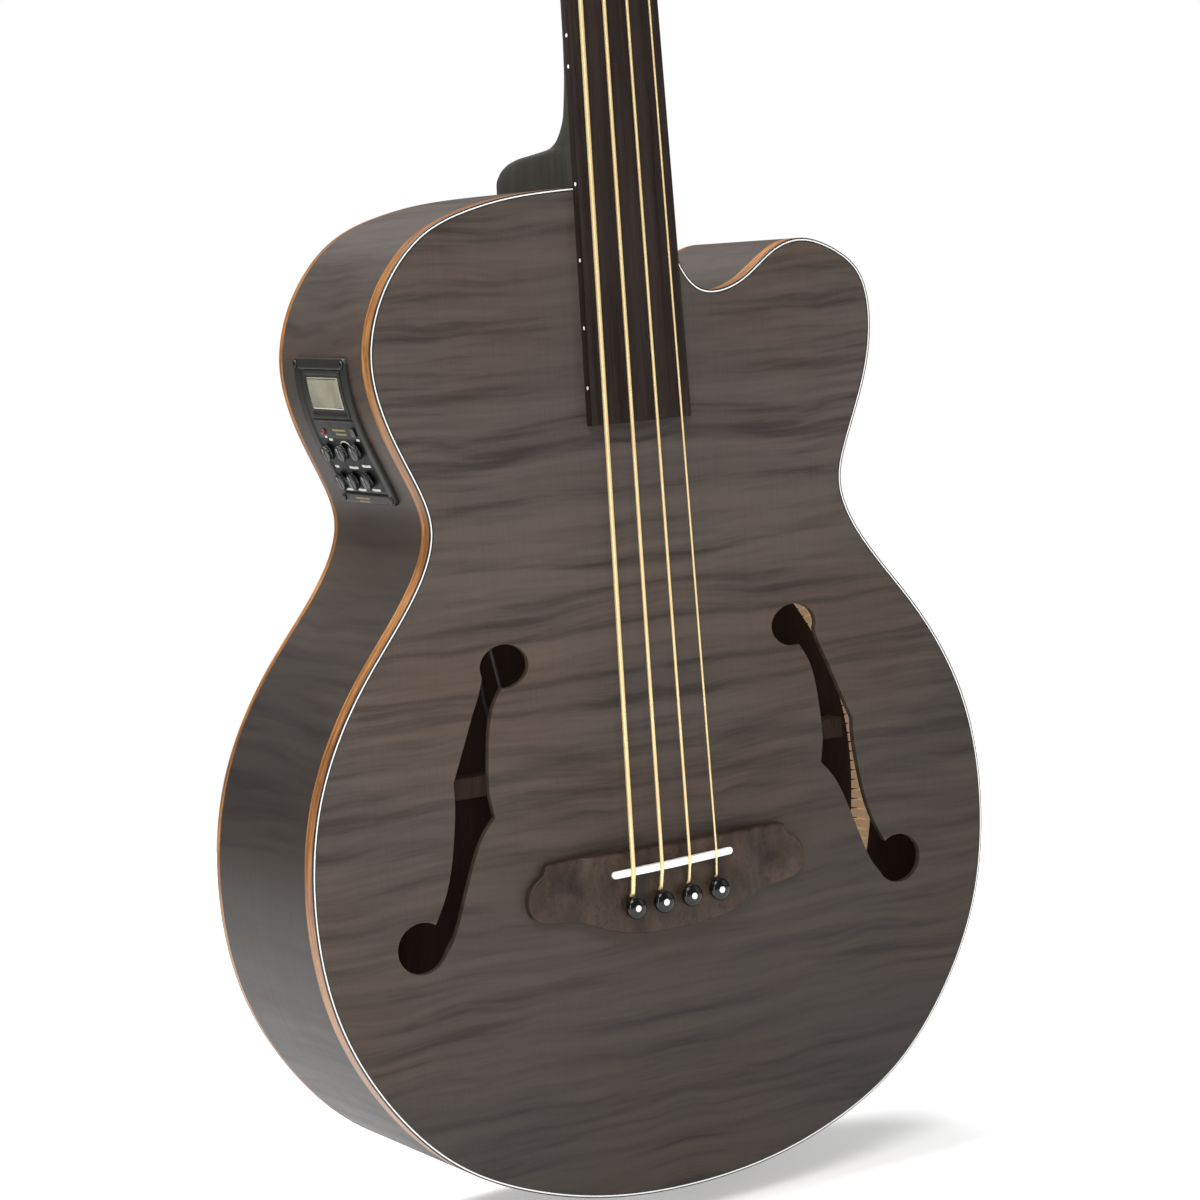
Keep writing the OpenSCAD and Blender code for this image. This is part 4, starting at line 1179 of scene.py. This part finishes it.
def strip(points, width, height, lift, mat):
    """A thin printed line over the panel."""
    p = np.array(points, float)
    d = unit(np.gradient(p, axis=0))
    n = np.stack([-d[:, 1], d[:, 0]], 1) * width / 2
    place = panel_place(lift)
    rings = [[place(*(q + k * m), h) for k, h in ((1, 0), (1, height), (-1, height), (-1, 0))]
        for q, m in zip(p, n)]
    return skinned(rings, [mat])


def preamp():
    bezel = [(0, 0), (0, 1.5), (0.2, 2.0), (0.7, 2.35), (1.2, 2.4), (4.6, 2.4), (5.2, 2.3),
        (5.6, 2.0), (5.9, 1.5), (6.3, FACE)]
    face = panel_slab(PANEL_W, PANEL_H, 3.5, bezel, (0, 0), PANEL)
    overlay = panel_slab(PANEL_W - 13, 28.5, 1.0, [(0, 0), (0, 0.06)], (0, -17.6),
        PANEL_DARK, FACE - 0.03)
    put("preamp_face", joined([face, overlay]), "panel_plastic", "preamp_panel")
    lcd = np.array(panel_of(*LCD_AT))
    rim = [(0, 0), (0, 0.35), (0.25, 0.6), (1.4, 0.6), (2.6, 0.15), (3.6, 0.1)]
    surround = panel_slab(44, 25, 3.0, rim, lcd - (0, 0.4), PANEL, FACE)
    lip = panel_slab(46, 1.2, 0.5, [(0, 0), (0, 0.5), (0.3, 0.75)], panel_of(54.5, 430.6),
        PANEL, FACE - 0.05)
    put("lcd_surround", joined([surround, lip]), "panel_plastic")
    window = [(0, -2.6), (0, 0.35), (0.4, 0.62), (1.0, 0.66)]
    glass = panel_slab(*LCD_SIZE, 0.6, window, lcd, LCD, FACE)
    put("lcd_window", glass, "lcd_glass", "lcd_screen")
    soften("preamp_housing", 0.6, PANEL)
    soften("circuit_board", 0.2, CIRCUIT)
    soften("battery", 1.0, KNOB)
    soften("led_lamp", 0, LED)
    soften("tuner_switch", 0.35, KNOB)
    for key in ("volume", "tone", "presence", "bass", "middle", "treble"):
        dial(key)
    marks()


def dial(key):
    """A low black knob: skirt, fluted rim, a bar across its face and a pale pointer."""
    joint = JOINTS["turn_" + key]
    origin, axis = Vector(joint["pos_m"]), Vector(joint["axis"]).normalized()
    profile = [(2.0, -7), (2.0, 2.3), (4.4, 2.42), (4.7, 2.55), (4.8, 2.9), (4.8, 3.3), (4.6, 3.6),
        (4.45, 3.75), (4.4, 4.9), (4.25, 5.15), (3.9, 5.3), (1.0, 5.34)]

    def flute(t, row):
        return 1 - 0.055 * max(0.0, math.cos(12 * t)) ** 1.5 if 7 <= row <= 9 else 1.0

    grip = lathe(profile, origin, axis, [KNOB], 96, flute)
    side = Vector((0, 1, 0))
    up = axis.cross(side).normalized()
    if up.z < 0:
        up = -up
    place = lambda u, v, h: origin + side * (u * MM) + up * (v * MM) + axis * (h * MM)
    bar = slab(rounded_rectangle(1.7, 8.0, 0.8, 5), [(0, 5.0), (0, 5.42), (0.25, 5.58)],
        place, [KNOB])
    line = slab(rounded_rectangle(0.5, 2.4, 0.2, 3) + (0, 2.4), [(0, 5.4), (0, 5.6)], place,
        [MARK])
    put("dial_%s_cap" % key, joined([grip, bar, line]), "knob_plastic", "knob_" + key,
        body="dial_" + key)


def dash(y, z, length, thick, lift, mat, bow=0.0):
    """A printed dash along the panel's width, a little bowed if asked."""
    a, b = panel_of(y, z)
    points = [(a - length / 2, b), (a, b - bow), (a + length / 2, b)]
    return strip(points, thick, 0.12, lift, mat)


def marks():
    """Plain printed dashes and one arc; they spell nothing."""
    low = FACE - 0.05
    white = [dash(y, z, length, 1.3, low, MARK, 0.2) for y, z, length in (
        (76, 405.6, 4.5), (56.6, 405.2, 10), (41, 406.2, 9.5),
        (74.6, 392.9, 8.5), (60, 392.8, 8.5), (43.6, 393, 9))]
    white += [dash(y, z, length, 1.2, low, MARK) for y, z, length in (
        (71.5, 421.8, 2.6), (67, 420.3, 4), (35.6, 420.3, 3.6))]
    c = panel_of(53.4, 414.2)
    arc = [(c[0] + 7 * math.cos(t), c[1] + 5.2 * math.sin(t)) for t in np.linspace(0.25, 2.9, 20)]
    white.append(strip(arc, 0.7, 0.12, low, MARK))
    gold = [dash(53, 425.4, 15, 1.0, low, GOLD_MARK), dash(52, 423.2, 12, 1.0, low, GOLD_MARK),
        dash(62, 388.4, 16, 0.9, 2.36, GOLD_MARK), dash(61, 386.6, 12, 0.9, 2.36, GOLD_MARK)]
    put("panel_marks", joined(white), "white_trim")
    put("panel_marks_gold", joined(gold), "panel_plastic")


# ---------------------------------------------------------------- fittings

def fittings():
    """Output jack, heel strap button and the leads inside."""
    jack = [(3.25, 52), (3.25, 0.3), (3.5, 0.0), (7.6, 0.0), (8.1, 0.35), (8.2, 1.2), (8.2, 2.3),
        (7.9, 2.6), (5.9, 4.2), (5.6, 4.8), (5.6, 9.6), (5.9, 10.1), (10.2, 11.3), (10.5, 11.6),
        (10.5, 13.6), (10.3, 13.9), (7.0, 13.9), (7.0, 40), (6.6, 40), (6.6, 52)]
    mesh = lathe(jack, (0, 0, 0), (0, 0, 1), [STEEL], 64)
    closed = bmesh.new()
    closed.from_mesh(mesh)
    big = [f for f in closed.faces if len(f.verts) > 4]
    bmesh.ops.delete(closed, geom=big, context="FACES")
    edges = [e for e in closed.edges if e.is_boundary]
    bmesh.ops.bridge_loops(closed, edges=edges)
    bmesh.ops.recalc_face_normals(closed, faces=closed.faces)
    closed.to_mesh(mesh)
    closed.free()
    put("end_pin_jack", mesh, "steel", "output_jack")
    seat = at(21.0, 58, BODY_LENGTH + 9)
    button = [(1.5, -10), (1.5, 0), (6.2, 0.2), (6.6, 0.6), (6.5, 1.3), (5.6, 1.9), (4.5, 2.6),
        (4.2, 3.4), (4.2, 7.6), (4.6, 8.4), (6.4, 9.0), (6.9, 9.6), (7.0, 10.3), (6.7, 11.1),
        (5.6, 11.6), (3.0, 11.8), (0.6, 11.8)]
    put("strap_pin", lathe(button, seat, (1, 0, 0), [STEEL]), "steel", "strap_button")
    leads = [([(-103, 62, 416), (-92, 66, 414), (-80, 74, 390), (-66, 86, 330), (-52, 92, 250),
        (-26, 80, 120), (-8, 68, 64), (0, 63.5, 42)], 1.4),
        ([(-103, 50, 416), (-94, 46, 408), (-90, 36, 364), (-86, 28, 316), (-79, 24, 270),
        (-70, 22, 230), (-54, 20, 205), (-45, 12, 196), (-43, 9.5, 190)], 1.0)]
    meshes = [tube([at(*p) for p in smooth(points, 10)], r, [CABLE], 12)
        for points, r in leads]
    put("inner_leads", joined(meshes), "cable_black", "wiring")


# ---------------------------------------------------------------- studio

def studio():
    """Pale floor, white surround, soft lights and the camera."""
    scene = bpy.context.scene
    floor_mesh = bpy.data.meshes.new("floor")
    z = CAD_BOX[0].z - 0.002
    floor_mesh.from_pydata([(-1.6, -1.4, z), (1.6, -1.4, z), (1.6, 1.2, z), (-1.6, 1.2, z)], [],
        [(0, 1, 2, 3)])
    floor = bpy.data.objects.new("floor", floor_mesh)
    scene.collection.objects.link(floor)
    pale = Paint("floor_white", (0.96, 0.96, 0.96, 1), Roughness=0.9,
        Emission_Color=(1, 1, 1, 1), Emission_Strength=0.4)
    rough = pale.remap(pale.noise(pale.object, (3, 3, 3)), 0.3, 0.7, 0.86, 0.94)
    pale.feed(pale.shader.inputs["Roughness"], rough)
    floor_mesh.materials.append(pale.mat)

    world = bpy.data.worlds.new("studio")
    scene.world = world
    world.use_nodes = True
    tree = world.node_tree
    tree.nodes.clear()
    out = tree.nodes.new("ShaderNodeOutputWorld")
    seen, lit = (tree.nodes.new("ShaderNodeBackground") for _ in range(2))
    for background, strength in ((seen, 1.0), (lit, 0.2)):
        background.inputs["Color"].default_value = (1, 1, 1, 1)
        background.inputs["Strength"].default_value = strength
    path = tree.nodes.new("ShaderNodeLightPath")
    pick = tree.nodes.new("ShaderNodeMixShader")
    tree.links.new(path.outputs["Is Camera Ray"], pick.inputs["Fac"])
    tree.links.new(lit.outputs[0], pick.inputs[1])
    tree.links.new(seen.outputs[0], pick.inputs[2])
    tree.links.new(pick.outputs[0], out.inputs["Surface"])

    softbox("key", (-0.65, -1.35, 1.85), (-0.05, 0, 0.6), (1.0, 1.0), 27)
    softbox("fill", (2.6, -2.2, 1.2), (0.05, 0, 0.3), (1.6, 2.2), 8)
    softbox("top", (-0.6, 0.6, 2.5), (0, 0, 0.5), (2.2, 1.6), 95)
    softbox("strip", (-1.05, -1.8, 0.25), (0, 0, 0.45), (0.16, 1.5), 9)

    yaw, pitch, roll = math.radians(30.30), math.radians(-6.13), math.radians(-4.17)
    level = Vector((math.cos(yaw), -math.sin(yaw), 0))
    ahead = Vector((math.sin(yaw), math.cos(yaw), 0))
    forward = ahead * math.cos(pitch) + Vector((0, 0, math.sin(pitch)))
    upright = level.cross(forward)
    right = level * math.cos(roll) + upright * math.sin(roll)
    up = upright * math.cos(roll) - level * math.sin(roll)
    lens = bpy.data.cameras.new("camera")
    lens.lens = 99.06
    lens.sensor_width = 36
    lens.clip_start = 0.01
    camera = bpy.data.objects.new("camera", lens)
    turned = Matrix((right, up, -forward)).transposed().to_4x4()
    camera.matrix_world = Matrix.Translation((-0.9062, -1.5619, 0.5252)) @ turned
    scene.collection.objects.link(camera)
    scene.camera = camera
    scene.view_settings.view_transform = "Standard"
    scene.view_settings.look = "None"


def softbox(name, place, target, size, power):
    light = bpy.data.lights.new(name, "AREA")
    light.shape = "RECTANGLE"
    light.size, light.size_y = size
    light.energy = power
    o = bpy.data.objects.new(name, light)
    o.location = place
    o.rotation_euler = (Vector(target) - Vector(place)).to_track_quat("-Z", "Y").to_euler()
    bpy.context.scene.collection.objects.link(o)


studio()
soundboard()
ribs()
back()
binding()
kerfed_linings()
inner_parts()
neck()
fingerboard()
bridge()
strings()
tuners()
screws()
preamp()
fittings()
